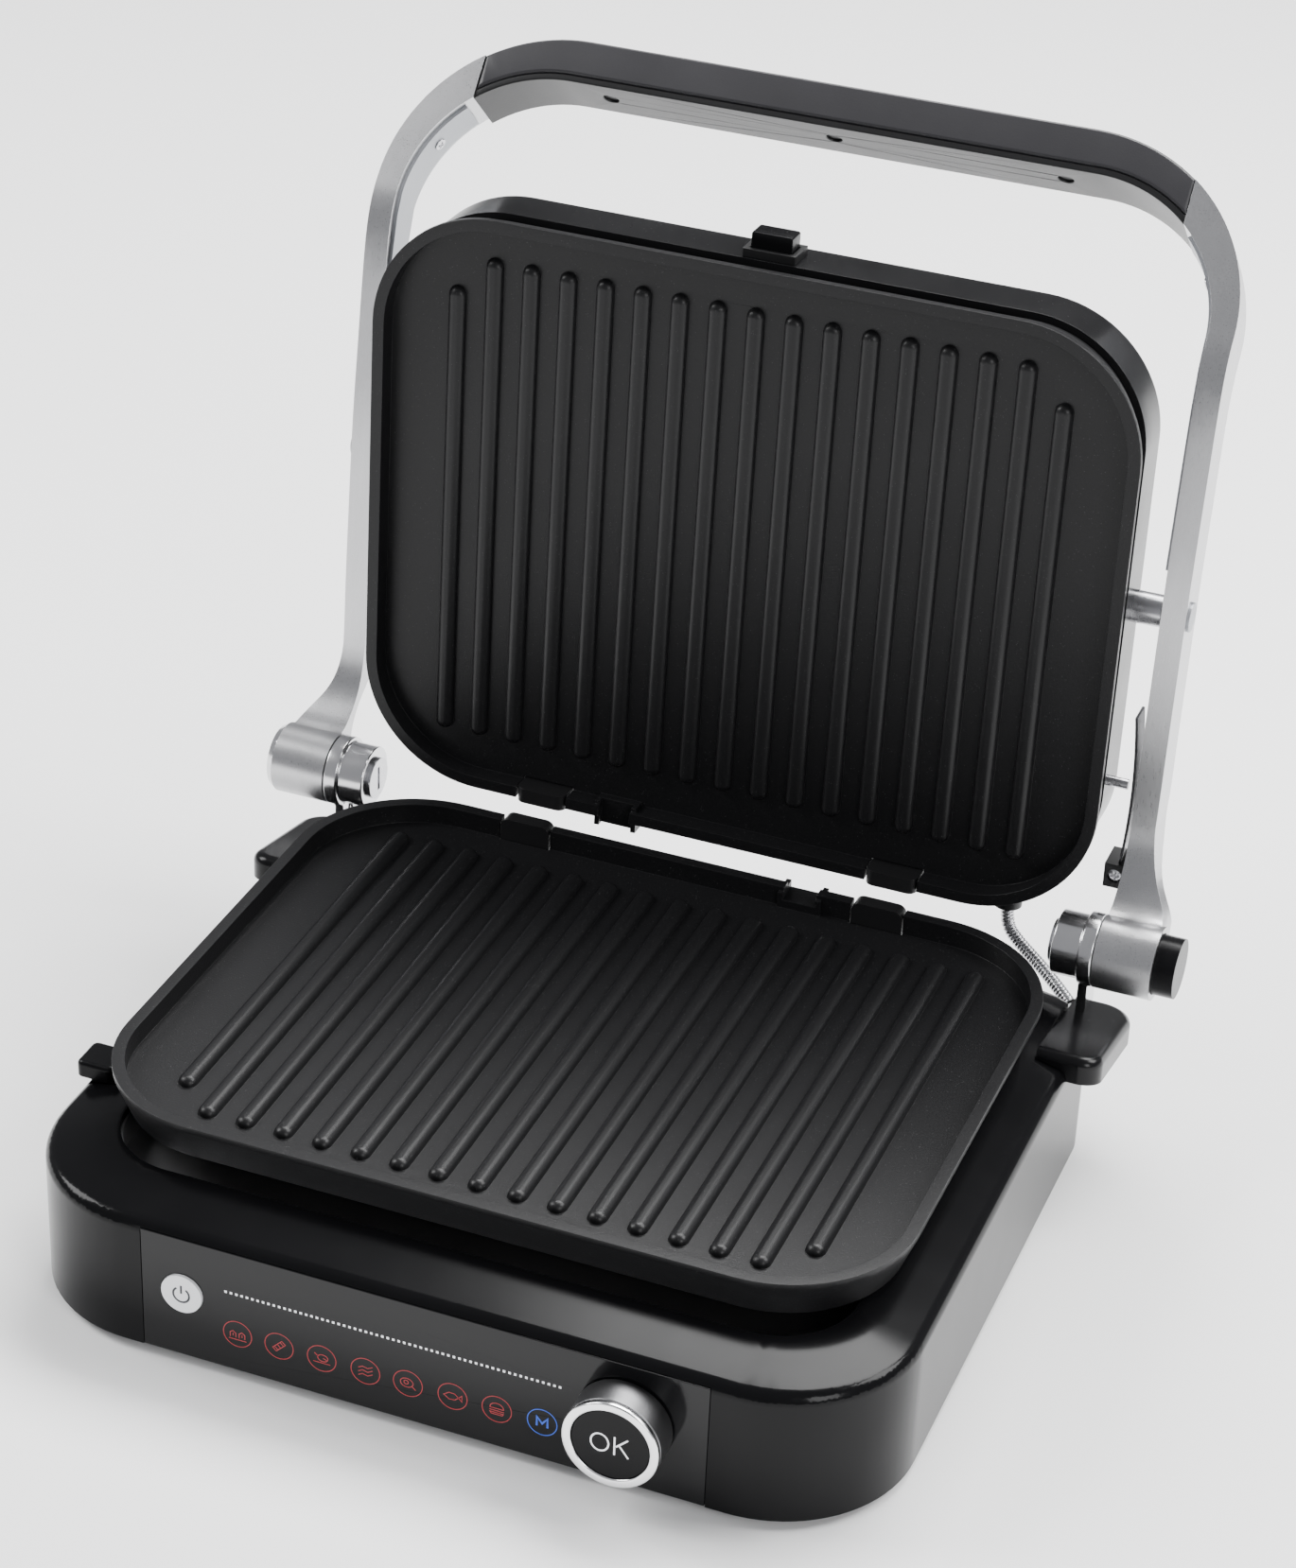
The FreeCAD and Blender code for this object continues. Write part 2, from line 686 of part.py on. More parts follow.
# ------------------------------------------------------------ lower heater
def heater(mid, z):
    """A bent tube: out from the rear middle, round the plate and back."""
    half, y0, y1 = heater_w.value / 2, mid - heater_d.value / 2, mid + heater_d.value / 2
    r, gap = S.heater_bend.value, 18.0
    k = math.sqrt(0.5)
    P = lambda x, y: Vector(x, y, z)

    def bend(cx, cy, a, b, c):
        dirs = {0: (1, 0), 45: (k, k), 90: (0, 1), 135: (-k, k), 180: (-1, 0),
                225: (-k, -k), 270: (0, -1), 315: (k, -k)}
        pts = [P(cx + r * dirs[q][0], cy + r * dirs[q][1]) for q in (a, b, c)]
        return Part.Arc(*pts).toShape()

    edges = [
        Part.LineSegment(P(-gap, y1), P(-half + r, y1)).toShape(),
        bend(-half + r, y1 - r, 90, 135, 180),
        Part.LineSegment(P(-half, y1 - r), P(-half, y0 + r)).toShape(),
        bend(-half + r, y0 + r, 180, 225, 270),
        Part.LineSegment(P(-half + r, y0), P(half - r, y0)).toShape(),
        bend(half - r, y0 + r, 270, 315, 0),
        Part.LineSegment(P(half, y0 + r), P(half, y1 - r)).toShape(),
        bend(half - r, y1 - r, 0, 45, 90),
        Part.LineSegment(P(half - r, y1), P(gap, y1)).toShape(),
    ]
    path = Part.Wire(edges)
    ring = Part.Wire(Part.Circle(P(-gap, y1), Vector(1, 0, 0), S.heater_r.value).toShape())
    return solid(path.makePipeShell([ring], True, True))


heater_z = surface - S.floor_t - 0.4 - S.heater_r
keep("lower_heating_element", heater(plate_mid.value, heater_z.value))
well = S.slope_in + S.wall
pan = slab(
    -S.base_w / 2 + well, S.base_w / 2 - well, front + well, rear - S.slope_in / 4 - S.wall,
    deck - S.pan_h - 2, deck - S.pan_sink, S.corner_front - well + 4, S.corner_rear - S.slope_in / 4 - S.wall, "pan",
)
hollow(
    pan, -S.base_w / 2 + well + S.pan_t, S.base_w / 2 - well - S.pan_t, front + well + S.pan_t,
    rear - S.slope_in / 4 - S.wall - S.pan_t, deck - S.pan_h - 2 + S.pan_t, deck - S.pan_sink,
    S.corner_front - well + 4 - S.pan_t, S.corner_rear - S.slope_in / 4 - S.wall - S.pan_t,
)
keep("lower_heat_reflector", pan)
pan_floor = deck - S.pan_h - 2 + S.pan_t
keep(
    "lower_heater_clips",
    cut(group(
        *[
            box(x - 4, x + 4, y - 4, y + 4, pan_floor, heater_z - S.heater_r + 1.5)
            for x, y in (
                (heater_w / 2, plate_mid), (-heater_w / 2, plate_mid),
                (0, plate_mid - heater_d / 2), (40, plate_mid + heater_d / 2),
                (-40, plate_mid + heater_d / 2),
            )
        ]
    ), heater(plate_mid.value, heater_z.value)),
)

# ------------------------------------------------------------ cooking plates
def grill_plate(stem, mid, low, face_down=False, flip=1):
    """A cast plate: tapering side, rim, ribs, rear notches and a drain.

    The plate is drawn face up.  With face_down its heights are counted from low
    downwards and its left and right change places, as when it is turned over.
    """
    half, deep, r = plate_w / 2, plate_d / 2, S.plate_corner
    at = (lambda q: low - q) if face_down else (lambda q: low + q)
    y0, y1 = mid - deep, mid + deep
    holder = body(stem)
    skirt = sketch(holder, "XY_Plane", at(0))
    t = 5.0
    rounded(skirt, -half + t, half - t, y0 + t, y1 - t, r - t)
    shoulder = sketch(holder, "XY_Plane", at(S.plate_h - 2.4))
    rounded(shoulder, -half, half, y0, y1, r)
    side = holder.newObject("PartDesign::AdditiveLoft", "side")
    side.Profile = skirt
    side.Sections = [shoulder]
    side.Ruled = True
    lip = sketch(holder, "XY_Plane", at(S.plate_h - 2.4))
    rounded(lip, -half, half, y0, y1, r)
    pad(holder, lip, 2.4, back=face_down)
    bowl = sketch(holder, "XY_Plane", at(S.plate_h - S.rim_h))
    w = S.rim_t
    rounded(bowl, -half + w, half - w, y0 + w, y1 - w, r - w)
    pocket(holder, bowl, S.rim_h, up=not face_down)
    under = sketch(holder, "XY_Plane", at(0))
    e = S.skirt_in
    rounded(under, -half + e, half - e, y0 + e, y1 - e, r - e)
    pocket(holder, under, S.plate_h - S.rim_h - S.floor_t, up=not face_down)
    # ribs
    count = int((plate_w - 2 * S.rib_side).value / S.rib_pitch.value)
    ribs = []
    for i in range(count):
        x = (i - (count - 1) / 2) * S.rib_pitch
        short = S.rib_short if i in (0, count - 1) else 0
        ribs.append((x, y1 - S.rib_back - rib_len + short, y1 - S.rib_back))
    foot_z = at(S.plate_h - S.rim_h)
    bars = []
    for x, a, b in ribs:
        r = S.rib_w.value / 2
        bar = Part.makeBox(2 * r, (b - a).value - 2 * r, S.rib_h.value + 1, Vector(x.value - r, a.value + r, -1))
        for y in (a.value + r, b.value - r):
            bar = bar.fuse(Part.makeCylinder(r, S.rib_h.value + 1, Vector(x.value, y, -1)))
        bar = bar.removeSplitter()
        crown = [e for e in bar.Edges if abs(e.BoundBox.ZMin - S.rib_h.value) < 1e-6]
        bar = bar.makeFillet(0.94 * S.rib_h.value, crown)
        if face_down:
            bar = bar.mirror(Vector(), Vector(0, 0, 1))
        bar.translate(Vector(0, 0, foot_z.value))
        bars.append(bar)
    ridges = solid(Part.makeCompound(bars))
    # rear notches for the fixed hooks and the grease drain
    tools = [
        box(x - S.notch_w / 2 - 0.4, x + S.notch_w / 2 + 0.4, y1 - S.notch_deep, y1 + 5,
            *sorted((at(-1), at(S.plate_h + 1)), key=float))
        for x in (-S.notch_x, S.notch_x)
    ]
    d = flip * S.drain_x
    spout = box(d - S.drain_w / 2, d + S.drain_w / 2, y1 - S.rim_t - 1.5, y1 + S.drain_out,
                *sorted((at(S.plate_h - S.rim_h - 1.5), at(S.plate_h - 1.6)), key=float))
    gutter = box(d - S.drain_w / 2 + 2, d + S.drain_w / 2 - 2, y1 - S.rim_t - 1.6, y1 + 10,
                 *sorted((at(S.plate_h - 4.6), at(S.plate_h + 1)), key=float))
    return cut(fuse(cut(holder, *tools), spout, ridges), gutter)


keep("lower_grill_plate", grill_plate("lower_plate", plate_mid, plate_low))
upper_face = surface + S.plates_apart
upper_low = upper_face + S.plate_h - S.rim_h
keep("upper_grill_plate", opened(grill_plate("upper_plate", upper_mid, upper_low, True, -1)))

def tab(x, y0, y1, low, high):
    """A hook's tongue as wide as its notch, its far corners rounded."""
    half, r = S.notch_w / 2, 3.5
    centre = high - r if high.value > low.value else high + r
    return fuse(
        box(x - half, x + half, y0, y1, *sorted((low, centre), key=float)),
        box(x - half + r, x + half - r, y0, y1, *sorted((centre, high), key=float)),
        *[rod("Y", y0, y1, r, x=x + s * (half - r), z=centre) for s in (-1, 1)],
    )


hook_y = (plate_rear - S.notch_deep + 0.4, plate_rear + 1.0)
keep(
    "lower_plate_hooks",
    group(
        *[
            tab(x, hook_y[0], hook_y[1], crease - 1, rim_top + 1.2)
            for x in (-S.notch_x, S.notch_x)
        ]
    ),
)
seat_x = S.base_w / 2 - S.slope_in
keep(
    "plate_seats",
    group(
        *[
            box(*sorted((sx * (seat_x - 2.4), sx * (seat_x - 0.2)), key=float), y - 8, y + 8,
                deck, plate_low - 0.3)
            for sx in (-1, 1)
            for y in (S.base_mid - 30, S.base_mid + 50)
        ]
    ),
)
button_y = (S.base_mid - 67.2, S.base_mid - 52.8)
side_x = -S.base_w / 2
button_cap = slab(side_x - 3.2, side_x + 11.7, *button_y, crease + 2.2, crease + 8.4, 2.6, 2.6, "release")
fillet(button_cap, 1.8, level((crease + 8.4).value))
keep(
    "lower_release_button",
    fuse(
        box(side_x + 2.7, side_x + 11.4, button_y[0] + 0.6, button_y[1] - 0.6, crease - 5, crease + 6),
        button_cap,
    ),
)

# ------------------------------------------------------------ brackets and shrouds
def side_of(side, near, far):
    """A stretch of X on one side, low value first."""
    return sorted((side * size(near), side * size(far)), key=float)


shroud_front, shroud_rear = axis_y - S.shroud_front, axis_y + S.shroud_back
shroud_low = crease - S.shroud_deep
ring_in = bracket_in + S.boss_w
pin_end = knuckle_in + 9.0


def shroud_shape():
    """The right cover over a bracket's foot: a tongue on the housing's slope, one
    thickness throughout and falling to the rear, and a block inside the side wall."""
    x0, x1 = (S.base_w / 2 - S.shroud_in).value, (S.base_w / 2 + S.shroud_out).value
    y0, y1, fall = shroud_slope()
    high, thick = (crease + S.shroud_rise).value, S.shroud_t.value
    rear_top = high - fall * (y1 - y0)
    points = [Vector(x0, y, z) for y, z in (
        (y0, high), (y1, rear_top), (y1, rear_top - thick), (y0, high - thick), (y0, high))]
    tongue = Part.Face(Part.makePolygon(points)).extrude(Vector(x1 - x0, 0, 0))
    at_end = lambda e, y: (
        e.BoundBox.XMin > x1 - 1e-4 and e.BoundBox.YLength < 1e-4 and abs(e.BoundBox.YMin - y) < 1e-4
    )
    for y, radius in ((y0, S.shroud_r.value), (y1, S.shroud_rear_r.value)):
        tongue = tongue.makeFillet(radius, [e for e in tongue.Edges if at_end(e, y)])
    on_top = lambda e: all(abs(v.Z - high + fall * (v.Y - y0)) < 1e-4 for v in e.Vertexes)
    outer = [e for e in tongue.Edges if on_top(e) and e.BoundBox.XMax > x0 + 0.1]
    tongue = tongue.makeFillet(S.shroud_edge.value, outer)
    step, low = (axis_y - S.shroud_step).value, shroud_low.value
    wide, long = (S.shroud_in - S.wall).value, (rear - S.wall).value - step
    block = Part.makeBox(wide, long, rear_top - low, Vector(x0, step, low))
    return tongue.fuse(block).removeSplitter()


for side, name in ((-1, "left"), (1, "right")):
    web = lambda: box(*side_of(side, ring_in, ring_in + S.web_t), axis_y - S.web_d / 2,
                      axis_y + S.web_d / 2, axis_z - S.web_deep, axis_z)
    keep(
        "hinge_bracket_" + name,
        cut(
            fuse(
                rod("X", *side_of(side, bracket_in, ring_in), S.boss_r, y=axis_y, z=axis_z),
                rod("X", *side_of(side, ring_in, ring_out), S.ring_r, y=axis_y, z=axis_z),
                web(),
            ),
            rod("X", *side_of(side, bracket_in - 1, ring_out + 1), S.pin_r, y=axis_y, z=axis_z),
        ),
    )
    keep(
        "hinge_pin_" + name,
        cut(
            fuse(
                rod("X", *side_of(side, bracket_in, pin_end), S.pin_r, y=axis_y, z=axis_z),
                rod("X", *side_of(side, bracket_in - 1.8, bracket_in), S.pin_head_r, y=axis_y, z=axis_z),
            ),
            box(*side_of(side, bracket_in - 3, bracket_in - 0.8), axis_y - 0.9, axis_y + 0.9,
                axis_z - 5, axis_z + 5),
        ),
    )
    cover = shroud_shape() if side > 0 else shroud_shape().mirror(Vector(), Vector(1, 0, 0))
    keep("bracket_shroud_" + name, cut(solid(cover), web()))

# ------------------------------------------------------------ arms and grip
# Side view of an arm, from the hinge axis: forward edge, then rear edge, as
# distances behind and above the axis.  Above the knee both run in a plane that
# leans back by loop_lean, where the arm turns inwards to the grip.
lean = math.radians(S.loop_lean.value)
run = Vector(0, math.sin(lean), math.cos(lean))
deep = Vector(0, math.cos(lean), -math.sin(lean))
AXIS = Vector(0, axis_y.value, axis_z.value)
top_d = S.arm_d.value + 3.0
grow = plate_d.value - 233.05
loop_at = AXIS + Vector(0, 91.8, 263.0 + grow)
leg = -(S.loop_r.value - S.grip_w.value + 3.7)
knee = loop_at + run * leg
loop_frame = Placement(loop_at, Rotation(Vector(1, 0, 0), 90 - S.loop_lean.value))


def at_axis(pairs):
    """Points of the side view, with what is above the hinge drawn out for longer plates."""
    rise = 1 + grow / 203.0
    return [AXIS + Vector(0, y, 60 + (z - 60) * rise if z > 60 else z) for y, z in pairs]


front_edge = at_axis([
    (2, 13.0), (9, 14.6), (15.5, 19), (21.5, 26), (25, 35), (28, 60), (31.5, 97),
    (36, 137), (42, 174), (46.5, 200), (50.5, 214),
]) + [knee]
d = S.arm_d.value
rear_edge = [knee + deep * top_d] + at_axis([
    (46.8 + d, 196), (42 + d, 172), (36 + d, 136), (31.5 + d, 97), (28.2 + d, 62),
    (26.5 + d, 45), (22 + d, 33.5), (12 + d, 24.5), (2 + d, 17.5), (14.6, 10), (13.2, 2),
])


def curve(points):
    line = Part.BSplineCurve()
    line.interpolate(points)
    return line.toShape()


def arm_shape():
    """The right arm without its bores."""
    wire = Part.Wire([
        curve(front_edge),
        Part.LineSegment(front_edge[-1], rear_edge[0]).toShape(),
        curve(rear_edge),
        Part.LineSegment(rear_edge[-1], front_edge[0]).toShape(),
    ])
    inner, outer = arm_in.value, knuckle_out.value
    side_view = Part.Face(wire)
    side_view.translate(Vector(inner, 0, 0))
    band = side_view.extrude(Vector(outer - inner, 0, 0))
    z = axis_z.value
    slim = inner + S.arm_w.value
    P = lambda x, up: Vector(x, axis_y.value - 40, up)
    flare = curve([P(slim, z + 44), P(slim + 0.6, z + 34), P(slim + 4.5, z + 22), P(outer - 0.8, z + 12), P(outer, z + 3)])
    top = knee.z + 60
    edges = [
        Part.LineSegment(P(inner, z - 20), P(inner, top)).toShape(),
        Part.LineSegment(P(inner, top), P(slim, top)).toShape(),
        Part.LineSegment(P(slim, top), P(slim, z + 44)).toShape(),
        flare,
        Part.LineSegment(P(outer, z + 3), P(outer, z - 20)).toShape(),
        Part.LineSegment(P(outer, z - 20), P(inner, z - 20)).toShape(),
    ]
    front_view = Part.Face(Part.Wire(edges)).extrude(Vector(0, 220, 0))
    band = band.common(front_view)
    knuckle = Part.makeCylinder(S.ring_r.value, S.knuckle_w.value, Vector(knuckle_in.value, axis_y.value, z), Vector(1, 0, 0))
    return band.fuse([knuckle, corner(top_d)]).removeSplitter()


def edge_arc(cx, cy, radius, x_end):
    """An arc of the loop's corner, from level with its centre to x_end."""
    end = math.acos((x_end - cx) / radius)
    pts = [Vector(cx + radius * math.cos(q), cy + radius * math.sin(q), 0) for q in (0, end / 2, end)]
    return Part.Arc(*pts).toShape(), pts[0], pts[-1]


slim = arm_in.value + S.arm_w.value
out_c = (slim - S.loop_r.value, S.grip_w.value - S.loop_r.value)
in_c = (arm_in.value - S.loop_in_r.value, -S.loop_in_r.value)


def corner(depth):
    """The arm's corner in the leaning plane, up to the grip's end."""
    outer, o0, o1 = edge_arc(*out_c, S.loop_r.value, grip_half.value)
    inner, i0, i1 = edge_arc(*in_c, S.loop_in_r.value, grip_half.value)
    base_l, base_r = Vector(i0.x, leg, 0), Vector(o0.x, leg, 0)
    edges = [outer, Part.LineSegment(o1, i1).toShape(), inner]
    for a, b in ((i0, base_l), (base_l, base_r), (base_r, o0)):
        if (a - b).Length > 1e-6:
            edges.append(Part.LineSegment(a, b).toShape())
    face = Part.Face(Part.Wire(Part.__sortEdges__(edges)))
    shape = face.extrude(Vector(0, 0, -depth))
    shape.Placement = loop_frame
    return shape


def both(shape):
    """The shape for each side: the right one and its mirror image."""
    return {"right": shape, "left": shape.mirror(Vector(), Vector(1, 0, 0))}


float_y, float_z = axis_y + S.float_back, axis_z + float_up
arms = both(arm_shape())
bore_end = arm_in + S.arm_w - 2.0
for side, name in ((-1, "left"), (1, "right")):
    tools = [
        rod("X", *side_of(side, knuckle_in - 1, pin_end + 0.4), S.pin_r + S.pin_fit, y=axis_y, z=axis_z),
        rod("X", *side_of(side, knuckle_in - 1, bore_end), S.float_pin_r + S.float_fit, y=float_y, z=float_z),
    ]
    if side > 0:
        tools.append(
            rod("X", knuckle_out - 7 - S.release_travel - 0.8, knuckle_out + 1, S.release_r + 0.3, y=axis_y, z=axis_z)
        )
    keep("arm_" + name, cut(solid(arms[name]), *tools))
    keep(
        "float_plug_" + name,
        rod("X", *side_of(side, arm_in + S.arm_w, arm_in + S.arm_w + 1.0), 5.5, y=float_y, z=float_z),
    )

button_back = knuckle_out - 7
keep(
    "hinge_release_button",
    cut(
        rod("X", button_back, knuckle_out + S.release_out, S.release_r, y=axis_y, z=axis_z),
        rod("X", button_back - 1, button_back + 9, S.spring_r + S.spring_wire, y=axis_y, z=axis_z),
    ),
)
spring_low = button_back - S.release_travel - 0.8
coil_len = 9 + S.release_travel.value + 0.8 - S.spring_wire.value
helix = Part.makeHelix(2.6, coil_len, S.spring_r.value)
ring = Part.Wire(
    Part.Circle(Vector(S.spring_r.value, 0, 0), Vector(0, 1, 0), S.spring_wire.value / 2).toShape()
)
coil = Part.Wire(helix.Edges).makePipeShell([ring], True, True)
coil.Placement = Placement(
    Vector(spring_low.value + S.spring_wire.value / 2, axis_y.value, axis_z.value), AXES["X"]
)
keep("release_spring", solid(coil))
keep(
    "hinge_end_cap",
    cone("X", -knuckle_out - S.cap_t, -knuckle_out, S.ring_r - 1.6, S.ring_r, y=axis_y, z=axis_z),
)


def loop_face(parts):
    """A face in the leaning plane from its edges."""
    return Part.Face(Part.Wire(Part.__sortEdges__(parts)))


def band_edges(centre, radius, half):
    """One long edge of the grip: arc, straight, arc; and its two ends."""
    arc, start, end = edge_arc(*centre, radius, half)
    end_angle = math.acos((half - centre[0]) / radius)
    mid_angle = (math.pi / 2 + end_angle) / 2
    crest = Vector(centre[0], centre[1] + radius, 0)
    pts = [Vector(half, centre[1] + radius * math.sin(end_angle), 0),
           Vector(centre[0] + radius * math.cos(mid_angle), centre[1] + radius * math.sin(mid_angle), 0), crest]
    flip = lambda q: Vector(-q.x, q.y, 0)
    return [
        Part.Arc(*pts).toShape(),
        Part.LineSegment(crest, flip(crest)).toShape(),
        Part.Arc(*[flip(q) for q in reversed(pts)]).toShape(),
    ], pts[0], flip(pts[0])


def grip_piece(low, high, z0, z1):
    """A slice of the grip between two long edges, and between two depths."""
    half = grip_half.value
    a, a_right, a_left = band_edges(*low, half)
    b, b_right, b_left = band_edges(*high, half)
    face = loop_face(a + b + [
        Part.LineSegment(a_right, b_right).toShape(), Part.LineSegment(a_left, b_left).toShape()
    ])
    face.translate(Vector(0, 0, -z0))
    shape = face.extrude(Vector(0, 0, z0 - z1))
    shape.Placement = loop_frame
    return shape


lining = S.grip_wall.value
in_edge = (in_c, S.loop_in_r.value)
mid_edge = (in_c, S.loop_in_r.value + lining)
out_edge = (out_c, S.loop_r.value)
keep("grip_shell", solid(grip_piece(mid_edge, out_edge, 0, S.grip_d.value)))
mid_depth = S.grip_d.value / 2
holes, heads = [], []
for x in (-grip_screw_x.value, 0, grip_screw_x.value):
    for radius, low, high, into in (
        (S.grip_screw_r.value, -1, lining + 1, holes), (S.grip_screw_r.value, 1.0, lining, heads),
    ):
        piece = Part.makeCylinder(radius, high - low, Vector(x, low, -mid_depth), Vector(0, 1, 0))
        piece.Placement = loop_frame.multiply(piece.Placement)
        into.append(piece)
keep("grip_lining", solid(grip_piece(in_edge, mid_edge, 0.8, S.grip_d.value + 0.8).cut(holes)))
keep("grip_screws", solid(Part.makeCompound(heads)))


def arm_cover():
    """The skin over the inner face of the right arm's upper half."""
    skin = S.cover_skin.value
    pts = at_axis([(38.5, 140), (44.5, 174), (49, 198), (53.5, 213)])
    pts += [knee + deep * 3.0, knee + deep * (top_d - 3)]
    pts += at_axis([(47 + d - 3, 194), (42 + d - 3, 170), (36.5 + d - 3, 140)])
    pts = [Vector(arm_in.value - skin, p.y, p.z) for p in pts]
    lower = Part.Face(Part.makePolygon(pts + [pts[0]])).extrude(Vector(skin, 0, 0))
    radius = S.loop_in_r.value
    outer, o0, o1 = edge_arc(*in_c, radius, grip_half.value + 3)
    inner, i0, i1 = edge_arc(*in_c, radius - skin, grip_half.value + 2)
    drop = Vector(0, leg - in_c[1], 0)
    edges = [outer, inner, Part.LineSegment(o1, i1).toShape()]
    if drop.Length > 1e-6:
        edges += [Part.LineSegment(o0, o0 + drop).toShape(), Part.LineSegment(i0, i0 + drop).toShape()]
        edges.append(Part.LineSegment(o0 + drop, i0 + drop).toShape())
    else:
        edges.append(Part.LineSegment(o0, i0).toShape())
    face = loop_face(edges)
    face.translate(Vector(0, 0, -3))
    upper = face.extrude(Vector(0, 0, -(top_d - 6)))
    upper.Placement = loop_frame
    q = math.radians(27)
    head = Part.makeCylinder(
        2.4, 0.8,
        Vector(in_c[0] + (radius - skin - 0.8) * math.cos(q), in_c[1] + (radius - skin - 0.8) * math.sin(q), -top_d / 2),
        Vector(math.cos(q), math.sin(q), 0),
    )
    head.Placement = loop_frame.multiply(head.Placement)
    return lower.fuse(upper), head


cover, cover_screw = arm_cover()
cover = cover.cut(cover_screw)
for name, shape in both(cover).items():
    keep("arm_cover_" + name, solid(shape))
keep("arm_cover_screws", solid(Part.makeCompound(list(both(cover_screw).values()))))

# tilt guide on the right arm: a clamped leaf that the lid's guide pin runs along
leaf_x = arm_in - 3.4
leaf_low, leaf_high = axis_z.value + 22, axis_z.value + 84
leaf_y = axis_y.value + 27.0
bow = [Vector(leaf_x.value, leaf_y, leaf_low), Vector(leaf_x.value + 1.7, leaf_y, (leaf_low + leaf_high) / 2),
       Vector(leaf_x.value, leaf_y, leaf_high)]
thick = Vector(S.leaf_t.value, 0, 0)
leaf = Part.Face(Part.Wire([
    Part.Arc(*bow).toShape(),
    Part.LineSegment(bow[2], bow[2] + thick).toShape(),
    Part.Arc(*[p + thick for p in reversed(bow)]).toShape(),
    Part.LineSegment(bow[0] + thick, bow[0]).toShape(),
])).extrude(Vector(0, S.leaf_w.value, 0))
keep("tilt_leaf", solid(leaf))
keep(
    "tilt_leaf_block",
    cut(
        box(arm_in - 8, arm_in, leaf_y - 2, leaf_y + S.leaf_w.value + 1, leaf_low - 10, leaf_low),
        rod("Y", leaf_y - 3, leaf_y - 0.8, 2.8, x=arm_in - 4, z=leaf_low - 5),
    ),
)
keep("tilt_leaf_screw", rod("Y", leaf_y - 1.6, leaf_y - 0.8, 2.6, x=arm_in - 4, z=leaf_low - 5))

# ------------------------------------------------------------ lid (drawn closed)
frame_low = upper_low + 0.3
frame_top = frame_low + S.frame_h
fx = plate_w / 2 - S.frame_in
fy0 = upper_mid - plate_d / 2 + S.frame_in
fy1 = upper_mid + plate_d / 2 - S.frame_in
fw = S.frame_wall
boot_z = frame_low + 6.6
frame = slab(-fx, fx, fy0, fy1, frame_low, frame_top, S.lid_corner, None, "lid_frame")
hollow(frame, -fx + fw, fx - fw, fy0 + fw, fy1 - fw, frame_low, frame_top - fw, S.lid_corner - fw)
button_low = frame_low + 3.4
keep(
    "lid_frame",
    opened(
        cut(
            frame,
            rod("Y", fy1 - 12, fy1 + 5, S.boot_r, x=boot_x, z=boot_z),
            box(-S.button_w / 2 - 0.3, S.button_w / 2 + 0.3, fy0 - 1, fy0 + fw + 1,
                button_low - 0.3, button_low + S.button_h + 0.3),
        )
    ),
)
ci = S.lid_cover_in
skin = S.lid_cover_t
lid_cover = slab(
    -fx + ci, fx - ci, fy0 + ci, fy1 - ci, frame_top, frame_top + S.lid_cover_h,
    S.lid_corner - ci, None, "lid_cover",
)
fillet(lid_cover, 6.0, level((frame_top + S.lid_cover_h).value))
hollow(
    lid_cover, -fx + ci + skin, fx - ci - skin, fy0 + ci + skin, fy1 - ci - skin,
    frame_top, frame_top + S.lid_cover_h - 6.0, S.lid_corner - ci - skin,
)
hollow(
    lid_cover, -fx + ci + 7, fx - ci - 7, fy0 + ci + 7, fy1 - ci - 7,
    frame_top, frame_top + S.lid_cover_h - skin, S.lid_corner - ci - 7,
)
keep("lid_cover", opened(lid_cover))

shade = slab(
    -fx + fw, fx - fw, fy0 + fw, fy1 - fw, frame_low + 5, frame_top - fw, S.lid_corner - fw, None, "shade"
)
hollow(
    shade, -fx + fw + S.pan_t, fx - fw - S.pan_t, fy0 + fw + S.pan_t, fy1 - fw - S.pan_t,
    frame_low + 5, frame_top - fw - S.pan_t, S.lid_corner - fw - S.pan_t,
)
keep(
    "upper_heat_reflector",
    opened(
        cut(
            shade,
            rod("Y", fy1 - 12, fy1 + 5, S.boot_r + 0.2, x=boot_x, z=boot_z),
            box(-S.button_w / 2 - 3, S.button_w / 2 + 3, fy0 - 1, fy0 + fw + S.pan_t + 1,
                frame_low, button_low + S.button_h + 3),
        )
    ),
)
upper_heater_z = upper_face + S.floor_t + 0.4 + S.heater_r
keep("upper_heating_element", opened(heater(upper_mid.value, upper_heater_z.value)))
ceiling = frame_top - fw - S.pan_t
keep(
    "upper_heater_clips",
    opened(
        cut(group(
            *[
                box(x - 4, x + 4, y - 4, y + 4, upper_heater_z + S.heater_r - 1.5, ceiling)
                for x, y in (
                    (heater_w / 2, upper_mid), (-heater_w / 2, upper_mid),
                    (0, upper_mid - heater_d / 2), (40, upper_mid + heater_d / 2),
                    (-40, upper_mid + heater_d / 2),
                )
            ]
        ), heater(upper_mid.value, upper_heater_z.value))
    ),
)
upper_rear = upper_mid + plate_d / 2
keep(
    "upper_plate_hooks",
    opened(
        group(
            *[
                tab(x, upper_rear - S.notch_deep + 0.4, upper_rear + 1.0, frame_low, upper_face - S.rim_h - 1.2)
                for x in (-S.notch_x, S.notch_x)
            ]
        )
    ),
)
keep(
    "upper_release_button",
    opened(
        fuse(
            box(-S.button_w / 2, S.button_w / 2, fy0 - S.button_out, fy0 + fw + 4, button_low,
                button_low + S.button_h),
            box(-S.button_w / 2 - 2, S.button_w / 2 + 2, fy0 + fw + S.pan_t + 0.3, fy0 + fw + 4,
                button_low + 1, button_low + S.button_h - 1),
        )
    ),
)
